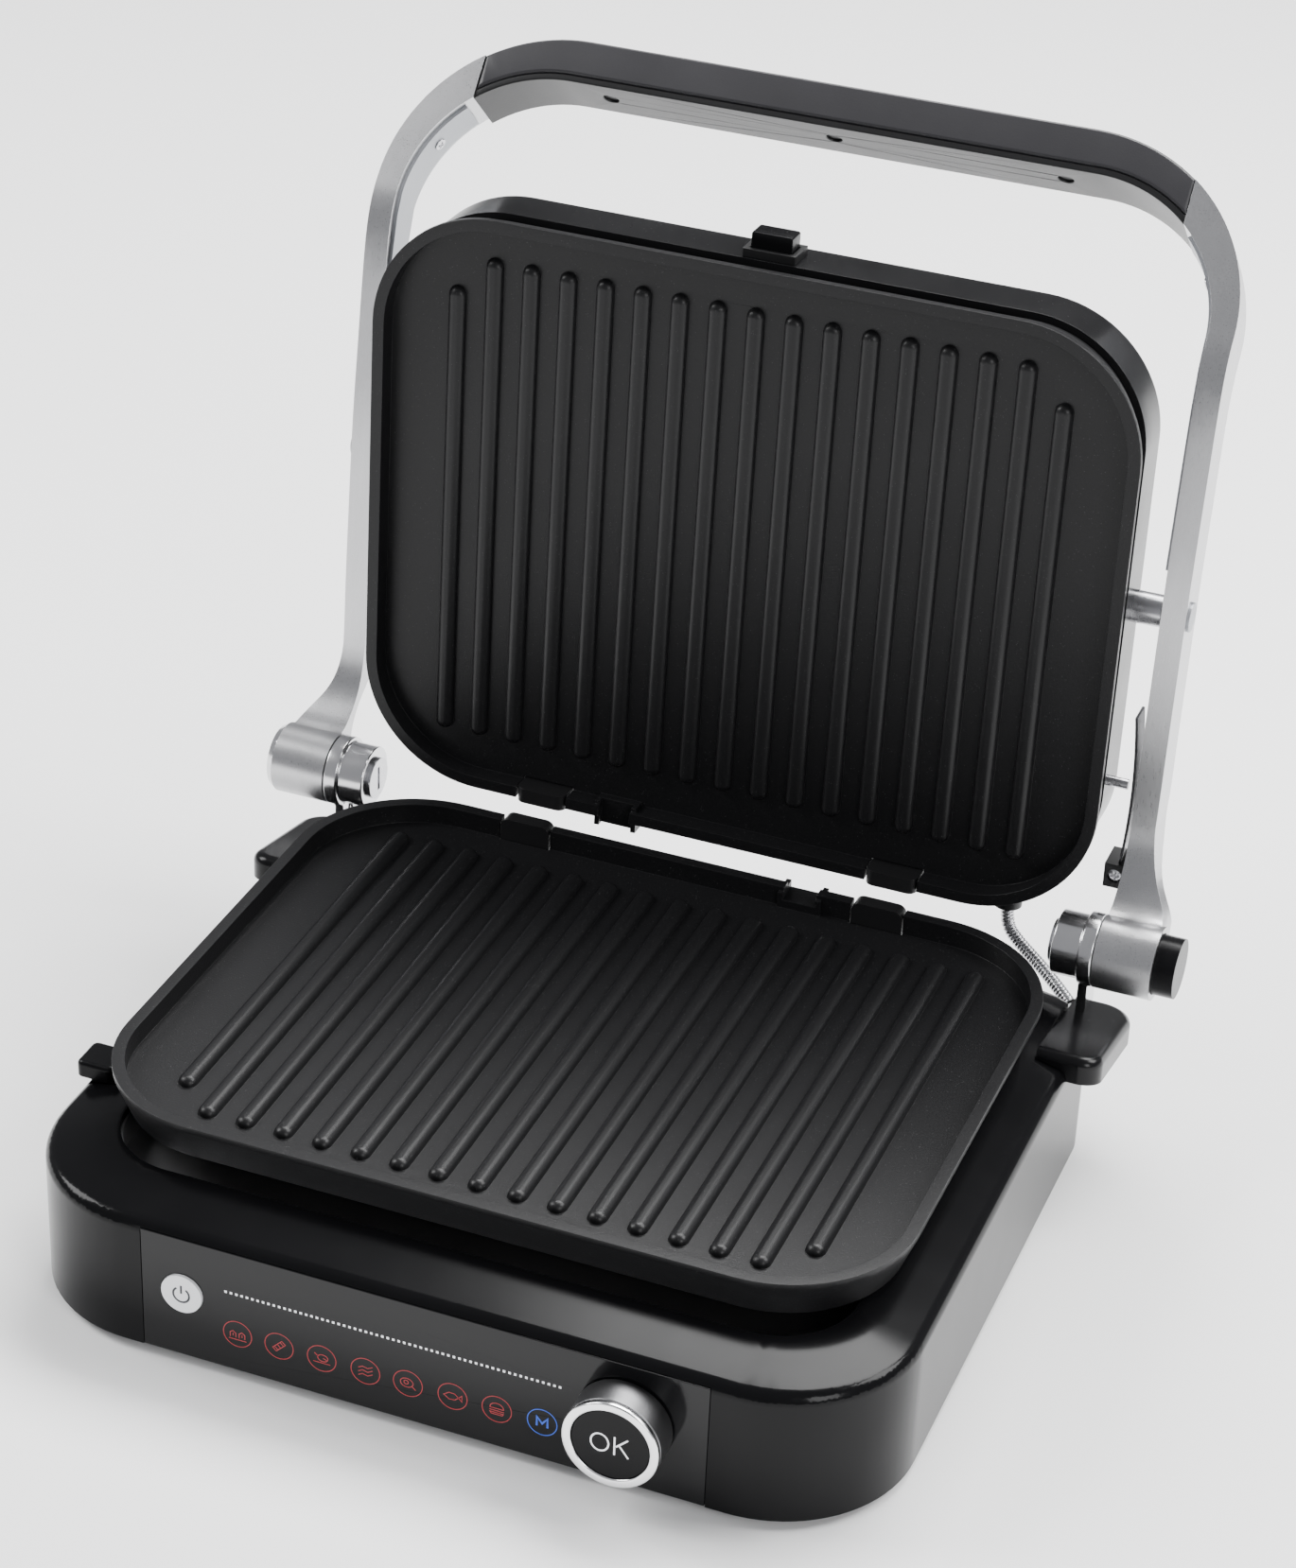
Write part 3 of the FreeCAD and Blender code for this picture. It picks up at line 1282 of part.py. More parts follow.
keep(
    "release_collar",
    opened(
        cut(
            box(-S.button_w / 2 - 2.4, S.button_w / 2 + 2.4, fy0 - 3.2, fy0, button_low - 2.4,
                button_low + S.button_h + 2.4),
            box(-S.button_w / 2 - 0.3, S.button_w / 2 + 0.3, fy0 - 4, fy0 + 1, button_low - 0.3,
                button_low + S.button_h + 0.3),
        )
    ),
)
keep(
    "conduit_boot",
    opened(
        cut(
            rod("Y", fy1 - 8, fy1 + S.boot_out, S.boot_r, x=boot_x, z=boot_z),
            rod("Y", fy1 + S.boot_out - 3, fy1 + S.boot_out + 1, 2.9, x=boot_x, z=boot_z),
        )
    ),
)

# float pins: collar against the lid, spindle in the arm
for side, name in ((-1, "left"), (1, "right")):
    keep(
        "float_pin_" + name,
        fuse(
            rod("X", *side_of(side, fx, arm_in - 0.4), S.float_collar_r, y=float_y, z=float_z),
            rod("X", *side_of(side, arm_in - 0.5, bore_end - 0.3), S.float_pin_r, y=float_y, z=float_z),
        ),
    )
keep(
    "tilt_guide_pin",
    rod("X", fx, leaf_x - 0.6, 2.0, y=axis_y + 32, z=axis_z + 53),
)

# the wires' sheath, from the lid's boot down to the base beside the right shroud
turn = OPEN.multVec(Vector(boot_x.value, (fy1 + S.boot_out).value - 3, boot_z.value))
dive = OPEN.multVec(Vector(boot_x.value, (fy1 + S.boot_out).value + 6, boot_z.value))
foot = Vector((S.base_w / 2 - S.shroud_in).value, axis_y.value + 3, crease.value - 9)
last_run = Vector(9, -8, -6).normalize()
path_points = [turn, dive, foot - last_run * 13.45, foot - last_run * 2.9]


def rounded_path(points, share=0.45):
    """Straight runs joined by tangent arcs."""
    edges, last = [], points[0]
    for a, b, c in zip(points, points[1:], points[2:]):
        u, v = (a - b).normalize(), (c - b).normalize()
        reach = share * min((a - b).Length, (c - b).Length)
        p, q = b + u * reach, b + v * reach
        mid = (u + v).normalize()
        half = u.getAngle(v) / 2
        radius = reach * math.tan(half)
        top = b + mid * (radius / math.sin(half) - radius)
        edges += [Part.LineSegment(last, p).toShape(), Part.Arc(p, top, q).toShape()]
        last = q
    edges.append(Part.LineSegment(last, points[-1]).toShape())
    return Part.Wire(edges)


sheath = rounded_path(path_points)
ring = Part.Wire(Part.Circle(turn, dive - turn, 2.7).toShape())
keep("lid_conduit", solid(sheath.makePipeShell([ring], True, True)))

# ------------------------------------------------------------- checks and export
doc.recompute()
bad = [o.Name for o in doc.Objects if {"Invalid", "Error"} & set(o.State)]
if bad:
    raise RuntimeError("these objects failed to build: %s" % ", ".join(bad))
for node, thing in NODES:
    if thing.Shape.isNull() or not thing.Shape.isValid() or not thing.Shape.Solids:
        raise RuntimeError("%s has no valid solid" % node)
os.makedirs("parts", exist_ok=True)
for node, thing in NODES:
    thing.Shape.exportStep(os.path.join("parts", node + ".step"))
    bounds = thing.Shape.BoundBox
    print(
        "%-26s solids %d  volume %10.1f  x %7.1f %7.1f  y %7.1f %7.1f  z %7.1f %7.1f"
        % (node, len(thing.Shape.Solids), thing.Shape.Volume, bounds.XMin, bounds.XMax,
           bounds.YMin, bounds.YMax, bounds.ZMin, bounds.ZMax)
    )
print("%d nodes" % len(NODES))
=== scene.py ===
"""Looks for an open contact grill: finishes, printed panel, screws, sheath and studio."""

from __future__ import annotations

import json
import logging
import math
from dataclasses import dataclass, field
from enum import Enum
from typing import Any, Callable, Iterable, Sequence

import bmesh
import bpy
from mathutils import Matrix, Vector

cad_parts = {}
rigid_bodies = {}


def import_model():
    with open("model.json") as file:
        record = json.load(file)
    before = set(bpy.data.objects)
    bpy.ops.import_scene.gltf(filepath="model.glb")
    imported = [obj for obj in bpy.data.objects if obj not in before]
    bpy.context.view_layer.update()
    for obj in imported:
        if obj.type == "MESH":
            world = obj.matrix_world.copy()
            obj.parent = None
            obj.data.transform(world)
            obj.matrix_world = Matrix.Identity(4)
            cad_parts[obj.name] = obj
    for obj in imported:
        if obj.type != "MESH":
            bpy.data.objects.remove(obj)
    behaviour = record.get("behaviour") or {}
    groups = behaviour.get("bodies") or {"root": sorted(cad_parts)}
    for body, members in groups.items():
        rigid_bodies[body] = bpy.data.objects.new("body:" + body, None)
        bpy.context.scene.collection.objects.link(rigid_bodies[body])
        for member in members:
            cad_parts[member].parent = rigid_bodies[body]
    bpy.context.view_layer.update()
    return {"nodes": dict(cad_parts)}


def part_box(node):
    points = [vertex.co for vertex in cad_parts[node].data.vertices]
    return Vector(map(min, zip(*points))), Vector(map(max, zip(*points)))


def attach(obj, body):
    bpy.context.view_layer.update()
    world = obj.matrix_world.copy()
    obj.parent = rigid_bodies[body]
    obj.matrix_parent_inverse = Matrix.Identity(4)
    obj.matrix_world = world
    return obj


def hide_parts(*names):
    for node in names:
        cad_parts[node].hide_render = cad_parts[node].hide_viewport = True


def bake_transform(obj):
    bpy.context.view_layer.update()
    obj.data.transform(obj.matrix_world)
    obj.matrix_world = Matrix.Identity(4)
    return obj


LOG = logging.getLogger("contact_grill")
MM = 0.001
Colour = tuple[float, float, float]
Point2 = tuple[float, float]
WELD_WITHIN = 0.002 * MM


# --------------------------------------------------------------------- shader maths
class Signal:
    """A shader socket that takes part in arithmetic."""

    def __init__(self, graph: "Graph", socket: bpy.types.NodeSocket) -> None:
        """Wrap a socket.

        Args:
            graph: The graph that new Math nodes go into.
            socket: The output socket to wrap.
        """
        self.graph = graph
        self.socket = socket

    def _math(self, operation: str, first: Any, second: Any = None) -> "Signal":
        """Add one Math node.

        Args:
            operation: The Math node's operation.
            first: Its first value or signal.
            second: Its second value or signal.

        Returns:
            The node's result.
        """
        links = {0: first} if second is None else {0: first, 1: second}
        return self.graph.node("ShaderNodeMath", {"operation": operation}, links)

    def __add__(self, other: Any) -> "Signal":
        """Return self + other.

        Args:
            other: A number or another signal.

        Returns:
            The result.
        """
        return self._math("ADD", self, other)

    def __radd__(self, other: Any) -> "Signal":
        """Return other + self.

        Args:
            other: A number or another signal.

        Returns:
            The result.
        """
        return self._math("ADD", other, self)

    def __sub__(self, other: Any) -> "Signal":
        """Return self - other.

        Args:
            other: A number or another signal.

        Returns:
            The result.
        """
        return self._math("SUBTRACT", self, other)

    def __rsub__(self, other: Any) -> "Signal":
        """Return other - self.

        Args:
            other: A number or another signal.

        Returns:
            The result.
        """
        return self._math("SUBTRACT", other, self)

    def __mul__(self, other: Any) -> "Signal":
        """Return self * other.

        Args:
            other: A number or another signal.

        Returns:
            The result.
        """
        return self._math("MULTIPLY", self, other)

    def __rmul__(self, other: Any) -> "Signal":
        """Return other * self.

        Args:
            other: A number or another signal.

        Returns:
            The result.
        """
        return self._math("MULTIPLY", other, self)

    def over(self, level: float, softness: float) -> "Signal":
        """Return 0 below a level, rising smoothly to 1.

        Args:
            level: Where the rise starts.
            softness: How far the rise takes.

        Returns:
            The step.
        """
        settings = {"interpolation_type": "SMOOTHSTEP"}
        links = {"Value": self, "From Min": level, "From Max": level + softness}
        return self.graph.node("ShaderNodeMapRange", settings, links)


class Graph:
    """One material's node tree, with its Principled shader."""

    def __init__(self, name: str) -> None:
        """Make an empty material.

        Args:
            name: The material's name.
        """
        self.material = bpy.data.materials.new(name)
        self.material.use_nodes = True
        self.tree = self.material.node_tree
        self.tree.nodes.clear()
        self.shader = self.tree.nodes.new("ShaderNodeBsdfPrincipled")
        output = self.tree.nodes.new("ShaderNodeOutputMaterial")
        self.tree.links.new(self.shader.outputs["BSDF"], output.inputs["Surface"])
        self._place: Signal | None = None

    def node(
        self, kind: str, settings: dict[str, Any], links: dict[Any, Any], out: Any = 0
    ) -> Signal:
        """Add any node.

        Args:
            kind: The node's type.
            settings: Its properties, or "stops" for a ramp, set before its sockets.
            links: A value or a Signal for each input, by name or number.
            out: The output wanted, by name or number.

        Returns:
            The chosen output.
        """
        item = self.tree.nodes.new(kind)
        for key, value in settings.items():
            if key == "stops":
                ramp = item.color_ramp
                while len(ramp.elements) < len(value):
                    ramp.elements.new(0.5)
                for element, (place, colour) in zip(ramp.elements, value):
                    element.position = place
                    element.color = (*colour, 1.0)
            else:
                setattr(item, key, value)
        for key, value in links.items():
            socket = item.inputs[key]
            if isinstance(value, Signal):
                self.tree.links.new(value.socket, socket)
            else:
                socket.default_value = value
        return Signal(self, item.outputs[out])

    @property
    def place(self) -> Signal:
        """The point on the piece, in metres, which travels with it."""
        if self._place is None:
            self._place = self.node("ShaderNodeTexCoord", {}, {}, "Object")
        return self._place

    def noise(
        self, scale: float, detail: float = 3.0, stretch: Sequence[float] = (1, 1, 1)
    ) -> Signal:
        """Return smooth noise from 0 to 1.

        Args:
            scale: How many cells to the metre.
            detail: How many octaves.
            stretch: How much finer the cells are along each axis.

        Returns:
            The noise.
        """
        at = self.node(
            "ShaderNodeVectorMath", {"operation": "MULTIPLY"}, {0: self.place, 1: tuple(stretch)}
        )
        links = {"Vector": at, "Scale": scale, "Detail": detail, "Roughness": 0.55}
        return self.node("ShaderNodeTexNoise", {}, links, "Fac")

    def flecks(self, scale: float) -> Signal:
        """Return the distance to the middle of the nearest small cell.

        Args:
            scale: How many cells to the metre.

        Returns:
            The distance, in cells.
        """
        return self.node(
            "ShaderNodeTexVoronoi", {"feature": "F1"}, {"Vector": self.place, "Scale": scale},
            "Distance",
        )

    def blend(self, share: Signal, low: Colour, high: Colour) -> Signal:
        """Mix two colours.

        Args:
            share: 0 for the first colour and 1 for the second.
            low: The first colour.
            high: The second colour.

        Returns:
            The mixed colour.
        """
        item = self.tree.nodes.new("ShaderNodeMix")
        item.data_type = "RGBA"
        self.tree.links.new(share.socket, item.inputs["Factor"])
        pair = [socket for socket in item.inputs if socket.type == "RGBA"]
        pair[0].default_value = (*low, 1.0)
        pair[1].default_value = (*high, 1.0)
        result = next(socket for socket in item.outputs if socket.type == "RGBA")
        return Signal(self, result)

    def emboss(self, height: Signal, depth: float, strength: float = 1.0) -> None:
        """Feed a height to the shader's normal.

        Args:
            height: The relief, from 0 to 1.
            depth: How tall it is, in metres.
            strength: How much of it shows.
        """
        links = {"Height": height, "Distance": depth, "Strength": strength}
        self.feed("Normal", self.node("ShaderNodeBump", {}, links, "Normal"))

    def feed(self, socket: str, signal: Signal) -> None:
        """Link a signal to one of the shader's sockets.

        Args:
            socket: The socket's name.
            signal: What drives it.
        """
        self.tree.links.new(signal.socket, self.shader.inputs[socket])

    def fix(self, **values: Any) -> None:
        """Set constants on the shader's own sockets.

        Args:
            values: Each socket's value, underscores standing for spaces in its name.
        """
        for key, value in values.items():
            socket = self.shader.inputs[key.replace("_", " ")]
            socket.default_value = value


# ------------------------------------------------------------------------- finishes
class Grain(Enum):
    """Which way a metal is brushed."""

    ALONG_X = (0.02, 1.0, 1.0)
    ALONG_Z = (1.0, 1.0, 0.02)
    NONE = (1.0, 1.0, 1.0)


@dataclass(frozen=True)
class Finish:
    """A surface: its colour, how it shines and how it varies."""

    name: str
    colour: Colour
    roughness: float
    metallic: float = 0.0
    ior: float = 1.5
    vary: float = 0.15
    shine: float = 0.5

    def material(self) -> bpy.types.Material:
        """Return the material, made once."""
        known = bpy.data.materials.get(self.name + "_look")
        if known:
            return known
        graph = Graph(self.name + "_look")
        graph.fix(
            Base_Color=(*self.colour, 1.0), Roughness=self.roughness, Metallic=self.metallic,
            IOR=self.ior, Specular_IOR_Level=self.shine,
        )
        self.detail(graph)
        return graph.material

    def shade(self, graph: Graph, share: Signal) -> None:
        """Vary the colour between a darker and a lighter tone.

        Args:
            graph: The material's node tree.
            share: 0 for the darker tone and 1 for the lighter.
        """
        low = tuple(c * (1 - self.vary) for c in self.colour)
        high = tuple(min(1.0, c * (1 + self.vary)) for c in self.colour)
        graph.feed("Base Color", graph.blend(share, low, high))

    def detail(self, graph: Graph) -> None:
        """Add what varies; the plain finish has only faint clouding.

        Args:
            graph: The material's node tree.
        """
        cloud = graph.noise(60, 2)
        self.shade(graph, cloud)
        graph.feed("Roughness", self.roughness * (0.85 + 0.3 * cloud))


@dataclass(frozen=True)
class GlossMoulding(Finish):
    """Polished black plastic with a faint ripple and finger haze."""

    def detail(self, graph: Graph) -> None:
        """Add haze to the gloss and the slight waviness of a moulding.

        Args:
            graph: The material's node tree.
        """
        haze = graph.noise(35, 4)
        specks = graph.noise(900, 2)
        self.shade(graph, haze)
        rough = self.roughness * (0.75 + 0.5 * haze)
        graph.feed("Roughness", rough + specks.over(0.66, 0.1) * 0.04)
        graph.emboss(graph.noise(28, 1), 0.00015, 0.15)


@dataclass(frozen=True)
class SatinMoulding(Finish):
    """Plastic from a spark-eroded mould: a fine even grain."""

    grain: float = 1500.0

    def detail(self, graph: Graph) -> None:
        """Add the grain and its uneven sheen.

        Args:
            graph: The material's node tree.
        """
        grain = graph.noise(self.grain, 3)
        cloud = graph.noise(45, 3)
        self.shade(graph, grain * 0.6 + cloud * 0.4)
        graph.feed("Roughness", self.roughness * (0.8 + 0.25 * cloud + 0.2 * grain))
        graph.emboss(grain, 0.00006, 0.5)


@dataclass(frozen=True)
class NonStickCoat(Finish):
    """A sprayed dark coat on cast aluminium, with pale flecks."""

    def detail(self, graph: Graph) -> None:
        """Add spray texture, flecks and rubbed patches.

        Args:
            graph: The material's node tree.
        """
        spray = graph.noise(1300, 4)
        cloud = graph.noise(22, 4)
        fleck = (1 - graph.flecks(950)).over(0.82, 0.1) * graph.noise(420, 1).over(0.5, 0.1)
        pale = tuple(c * 4.0 + 0.06 for c in self.colour)
        graph.feed("Base Color", graph.blend(fleck * 0.8 + spray * 0.1, self.colour, pale))
        rough = self.roughness * (0.82 + 0.25 * cloud + 0.18 * spray)
        graph.feed("Roughness", rough - fleck * 0.12)
        graph.emboss(spray + fleck * 0.5, 0.00008, 0.7)


@dataclass(frozen=True)
class BrushedMetal(Finish):
    """Metal with fine parallel scratches."""

    grain: Grain = Grain.ALONG_Z
    fineness: float = 2600.0

    def detail(self, graph: Graph) -> None:
        """Add scratches, broad tone bands and their relief.

        Args:
            graph: The material's node tree.
        """
        lines = graph.noise(self.fineness, 3, self.grain.value)
        bands = graph.noise(220, 2, self.grain.value)
        cloud = graph.noise(18, 3)
        self.shade(graph, lines * 0.5 + bands * 0.3 + cloud * 0.2)
        graph.feed("Roughness", self.roughness * (0.62 + 0.5 * lines + 0.26 * cloud))
        graph.emboss(lines, 0.00003, 0.45)


@dataclass(frozen=True)
class PolishedMetal(Finish):
    """Buffed metal with faint swirls and smudges."""

    def detail(self, graph: Graph) -> None:
        """Add smudges and hairline scratches.

        Args:
            graph: The material's node tree.
        """
        smudge = graph.noise(70, 4)
        hair = graph.noise(1800, 2, (1, 0.1, 0.1))
        self.shade(graph, smudge)
        rough = self.roughness * (0.7 + 0.6 * smudge)
        graph.feed("Roughness", rough + hair.over(0.62, 0.1) * 0.06)
        graph.emboss(graph.noise(120, 2), 0.00008, 0.2)


@dataclass(frozen=True)
class Ink(Finish):
    """Screen print: flat, with a slightly uneven lay and, where set, a painted glow."""

    # painted glow: emission that brightens the print, with no lamp behind it
    painted_glow: float = 0.0

    def detail(self, graph: Graph) -> None:
        """Add the lay of the ink, and a painted glow that brightens the print.

        Args:
            graph: The material's node tree.
        """
        lay = graph.noise(2200, 3)
        self.shade(graph, lay)
        graph.feed("Roughness", self.roughness * (0.85 + 0.3 * lay))
        # painted glow: the ink emits its own colour to look brighter
        if self.painted_glow:
            graph.fix(Emission_Color=(*self.colour, 1.0), Emission_Strength=self.painted_glow)


HOUSING = GlossMoulding("black_housing", (0.003, 0.003, 0.0034), 0.17, shine=0.13)
FASCIA = GlossMoulding("black_fascia", (0.004, 0.004, 0.0045), 0.12, shine=0.25)
KEY_BLACK = GlossMoulding("black_key", (0.004, 0.004, 0.0045), 0.26, shine=0.1)
SHROUD_BLACK = GlossMoulding("black_shroud", (0.004, 0.004, 0.0045), 0.24, shine=0.18)
GLASS_BLACK = GlossMoulding("black_knob_face", (0.003, 0.003, 0.0035), 0.12, shine=0.12)
FRAME_BLACK = GlossMoulding("black_lid_frame", (0.006, 0.006, 0.0065), 0.24, shine=0.3)
GRIP_BLACK = SatinMoulding("black_grip", (0.022, 0.0215, 0.024), 0.36, shine=0.4)
SATIN_BLACK = SatinMoulding("black_satin_moulding", (0.008, 0.008, 0.0085), 0.42, shine=0.35)
LINING_BLACK = SatinMoulding("black_grip_lining", (0.006, 0.006, 0.0065), 0.34, shine=0.35)
WHITE_KEY = SatinMoulding("white_key", (0.82, 0.83, 0.85), 0.3, vary=0.03)
COVER_GREY = SatinMoulding("grey_arm_cover", (0.34, 0.35, 0.37), 0.38, metallic=0.6, vary=0.05)
RUBBER = SatinMoulding("foot_rubber", (0.012, 0.012, 0.0125), 0.75, grain=700, shine=0.3)
BOARD = SatinMoulding("green_board", (0.03, 0.16, 0.07), 0.4)
COATING = NonStickCoat("dark_plate_coat", (0.0035, 0.0035, 0.004), 0.36, shine=0.24)
ARM_METAL = BrushedMetal("brushed_arm", (0.50, 0.50, 0.51), 0.30, metallic=1.0, vary=0.22)
LID_STEEL = BrushedMetal("brushed_lid", (0.62, 0.62, 0.64), 0.28, metallic=1.0, grain=Grain.ALONG_X)
KNOB_SIDE = BrushedMetal("satin_knob", (0.17, 0.17, 0.175), 0.36, metallic=1.0, grain=Grain.NONE)
BRIGHT = PolishedMetal("bright_ring", (0.88, 0.88, 0.89), 0.16, metallic=1.0, vary=0.04)
HINGE_METAL = PolishedMetal("polished_hinge", (0.66, 0.66, 0.67), 0.18, metallic=1.0, vary=0.08)
STEEL = PolishedMetal("plain_steel", (0.56, 0.56, 0.58), 0.26, metallic=1.0)
DARK_STEEL = PolishedMetal("dark_spring_steel", (0.09, 0.09, 0.095), 0.3, metallic=1.0)
SHEET_STEEL = BrushedMetal("zinc_sheet", (0.42, 0.42, 0.43), 0.42, metallic=1.0, grain=Grain.NONE)
HEATER_SKIN = SatinMoulding("heated_steel", (0.12, 0.10, 0.09), 0.5, metallic=0.9)
# the white, red and blue print carry a painted glow
INK_WHITE = Ink("white_print", (0.85, 0.86, 0.88), 0.4, vary=0.05, painted_glow=0.6)
INK_RED = Ink("red_print", (0.30, 0.012, 0.018), 0.4, painted_glow=0.05)
INK_BLUE = Ink("blue_print", (0.02, 0.09, 0.55), 0.4, painted_glow=0.3)
INK_GREY = Ink("grey_print", (0.02, 0.022, 0.028), 0.4)
FLOOR = SatinMoulding("studio_floor", (0.93, 0.93, 0.93), 0.9, grain=40, vary=0.005, shine=0.1)


# --------------------------------------------------------------------- mesh helpers
def new_piece(name: str, verts: list[Vector], faces: list[Sequence[int]], finish: Finish,
              smooth: bool = False) -> bpy.types.Object:
    """Make a mesh object.

    Args:
        name: The piece's name.
        verts: Its points, in metres.
        faces: Its faces, as point numbers.
        finish: What it is made of.
        smooth: Whether its faces shade smoothly.

    Returns:
        The object, linked to the scene.
    """
    mesh = bpy.data.meshes.new(name)
    mesh.from_pydata([tuple(v) for v in verts], [], [tuple(f) for f in faces])
    mesh.validate()
    mesh.materials.append(finish.material())
    for face in mesh.polygons:
        face.use_smooth = smooth
    item = bpy.data.objects.new(name, mesh)
    bpy.context.scene.collection.objects.link(item)
    return item


def tube_faces(runs: int, around: int) -> list[tuple[int, ...]]:
    """Return the faces of a tube with closed ends.

    Args:
        runs: How many runs it has along its length.
        around: How many points stand in each ring.

    Returns:
        Its sides, ring by ring, and then its two ends.
    """
    faces: list[tuple[int, ...]] = []
    for i in range(runs):
        for j in range(around):
            a, b = i * around + j, i * around + (j + 1) % around
            faces.append((a, b, b + around, a + around))
    faces.append(tuple(reversed(range(around))))
    faces.append(tuple(runs * around + j for j in range(around)))
    return faces


def dress(names: Iterable[str], finish: Finish, nodes: dict[str, Any], edge: float = 0.0) -> None:
    """Give carried-over pieces a finish and, where wanted, softened edges.

    Args:
        names: The pieces.
        finish: What they are made of.
        nodes: The frame's pieces by name.
        edge: How far each sharp edge is softened, in millimetres.
    """
    for name in names:
        item = nodes[name]
        material = finish.material()
        if item.material_slots:
            for slot in item.material_slots:
                slot.material = material
        else:
            item.data.materials.append(material)
        if edge:
            soften(item, edge)
        LOG.info("dressed %s in %s", name, finish.name)


def soften(item: bpy.types.Object, width: float, angle: float = 32.0) -> None:
    """Round an object's sharp edges with modifiers.

    Args:
        item: The object.
        width: The rounding, in millimetres.
        angle: The sharpest bend left alone, in degrees.
    """
    weld = item.modifiers.new("weld", "WELD")
    weld.merge_threshold = WELD_WITHIN
    bevel = item.modifiers.new("soft_edges", "BEVEL")
    bevel.width = width * MM
    bevel.segments = 2
    bevel.limit_method = "ANGLE"
    bevel.angle_limit = math.radians(angle)
    bevel.use_clamp_overlap = True
    even = item.modifiers.new("even_shading", "WEIGHTED_NORMAL")
    even.keep_sharp = False
    even.weight = 60


@dataclass
class Ribbons:
    """Flat raised lines, such as print or an engraved symbol, on an upright face."""

    y: float
    width: float
    rise: float = 0.05 * MM
    verts: list[Vector] = field(default_factory=list)
    faces: list[tuple[int, ...]] = field(default_factory=list)

    def line(self, points: Sequence[Point2], closed: bool = False) -> None:
        """Add one line of even width with mitred corners.

        Args:
            points: The line's middle, as X and Z in metres.
            closed: Whether its end joins its start.
        """
        count = len(points)
        flat = [Vector((x, z)) for x, z in points]
        base = len(self.verts)
        for i, here in enumerate(flat):
            before = flat[i - 1] if i or closed else None
            after = flat[(i + 1) % count] if i < count - 1 or closed else None
            turns = [
                Vector((-(q - p).y, (q - p).x)).normalized()
                for p, q in ((before, here), (here, after))
                if p is not None and q is not None and (q - p).length > 1e-9
            ]
            normal = sum(turns, Vector((0, 0)))
            normal = normal.normalized() if normal.length > 1e-6 else turns[0]
            reach = self.width / 2 / max(0.5, normal.dot(turns[0]))
            top = self.y - self.rise
            for side, y in ((1, self.y), (-1, self.y), (-1, top), (1, top)):
                p = here + normal * reach * side
                self.verts.append(Vector((p.x, y, p.y)))
        last = count if closed else count - 1
        for i in range(last):
            a, b = base + 4 * i, base + 4 * ((i + 1) % count)
            for k in range(4):
                self.faces.append((a + k, b + k, b + (k + 1) % 4, a + (k + 1) % 4))
        if not closed:
            end = base + 4 * (count - 1)
            self.faces.append((base, base + 1, base + 2, base + 3))
            self.faces.append((end + 3, end + 2, end + 1, end))

    def ring(self, x: float, z: float, radius: float, start: float = 0.0, sweep: float = 360.0,
             squash: float = 1.0, steps: int = 40) -> None:
        """Add a circle, or part of one.

        Args:
            x: Its centre's X.
            z: Its centre's Z.
            radius: Its radius.
            start: Where it begins, in degrees from +X.
            sweep: How far it runs, in degrees.
            squash: Its height as a share of its width.
            steps: How many runs it has.
        """
        whole = sweep >= 360
        spots = range(steps if whole else steps + 1)
        points = []
        for i in spots:
            q = math.radians(start + sweep * i / steps)
            points.append((x + radius * math.cos(q), z + squash * radius * math.sin(q)))
        self.line(points, whole)

    def build(self, name: str, finish: Finish, body: str, slot: str) -> bpy.types.Object:
        """Make the lines into one piece.

        Args:
            name: The piece's name.
            finish: Its ink.
            body: The body it rides on.
            slot: Not used.

        Returns:
            The piece.
        """
        item = new_piece(name, self.verts, self.faces, finish)
        scrub = bmesh.new()
        scrub.from_mesh(item.data)
        bmesh.ops.recalc_face_normals(scrub, faces=scrub.faces)
        scrub.to_mesh(item.data)
        scrub.free()
        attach(item, body)
        LOG.info("built %s", name)
        return item


# --------------------------------------------------------------------- sub-assemblies
@dataclass
class Base:
    """The housing, its cover, feet, heater and rear shrouds."""

    nodes: dict[str, Any]

    def make(self) -> None:
        """Dress the base."""
        dress(["base_housing"], HOUSING, self.nodes, 0.35)
        dress(["control_panel"], FASCIA, self.nodes, 0.25)
        dress(["base_bottom_cover", "cable_gland", "plate_seats", "board_posts", "encoder"],
              SATIN_BLACK, self.nodes)
        dress(["bracket_shroud_left", "bracket_shroud_right"], SHROUD_BLACK, self.nodes, 0.5)
        dress(["lower_plate_hooks"], SATIN_BLACK, self.nodes, 1.0)
        dress(["rubber_feet"], RUBBER, self.nodes, 0.8)
        dress(["base_screws", "tray_rails"], STEEL, self.nodes)
        dress(["drip_tray"], SATIN_BLACK, self.nodes, 0.6)
        dress(["control_board"], BOARD, self.nodes)
        dress(["lower_heat_reflector", "lower_heater_clips"], SHEET_STEEL, self.nodes)
        dress(["lower_heating_element"], HEATER_SKIN, self.nodes)
        dress(["lower_release_button"], KEY_BLACK, self.nodes, 0.5)
        dress(["hinge_bracket_left", "hinge_bracket_right"], HINGE_METAL, self.nodes, 0.9)
        dress(["hinge_pin_left", "hinge_pin_right"], STEEL, self.nodes, 0.5)


class Dish(Enum):
    """The cooking programmes that the panel offers."""

    TOAST = 0
    SAUSAGE = 1
    POULTRY = 2
    BACON = 3
    STEAK = 4
    FISH = 5
    BURGER = 6
    MANUAL = 7


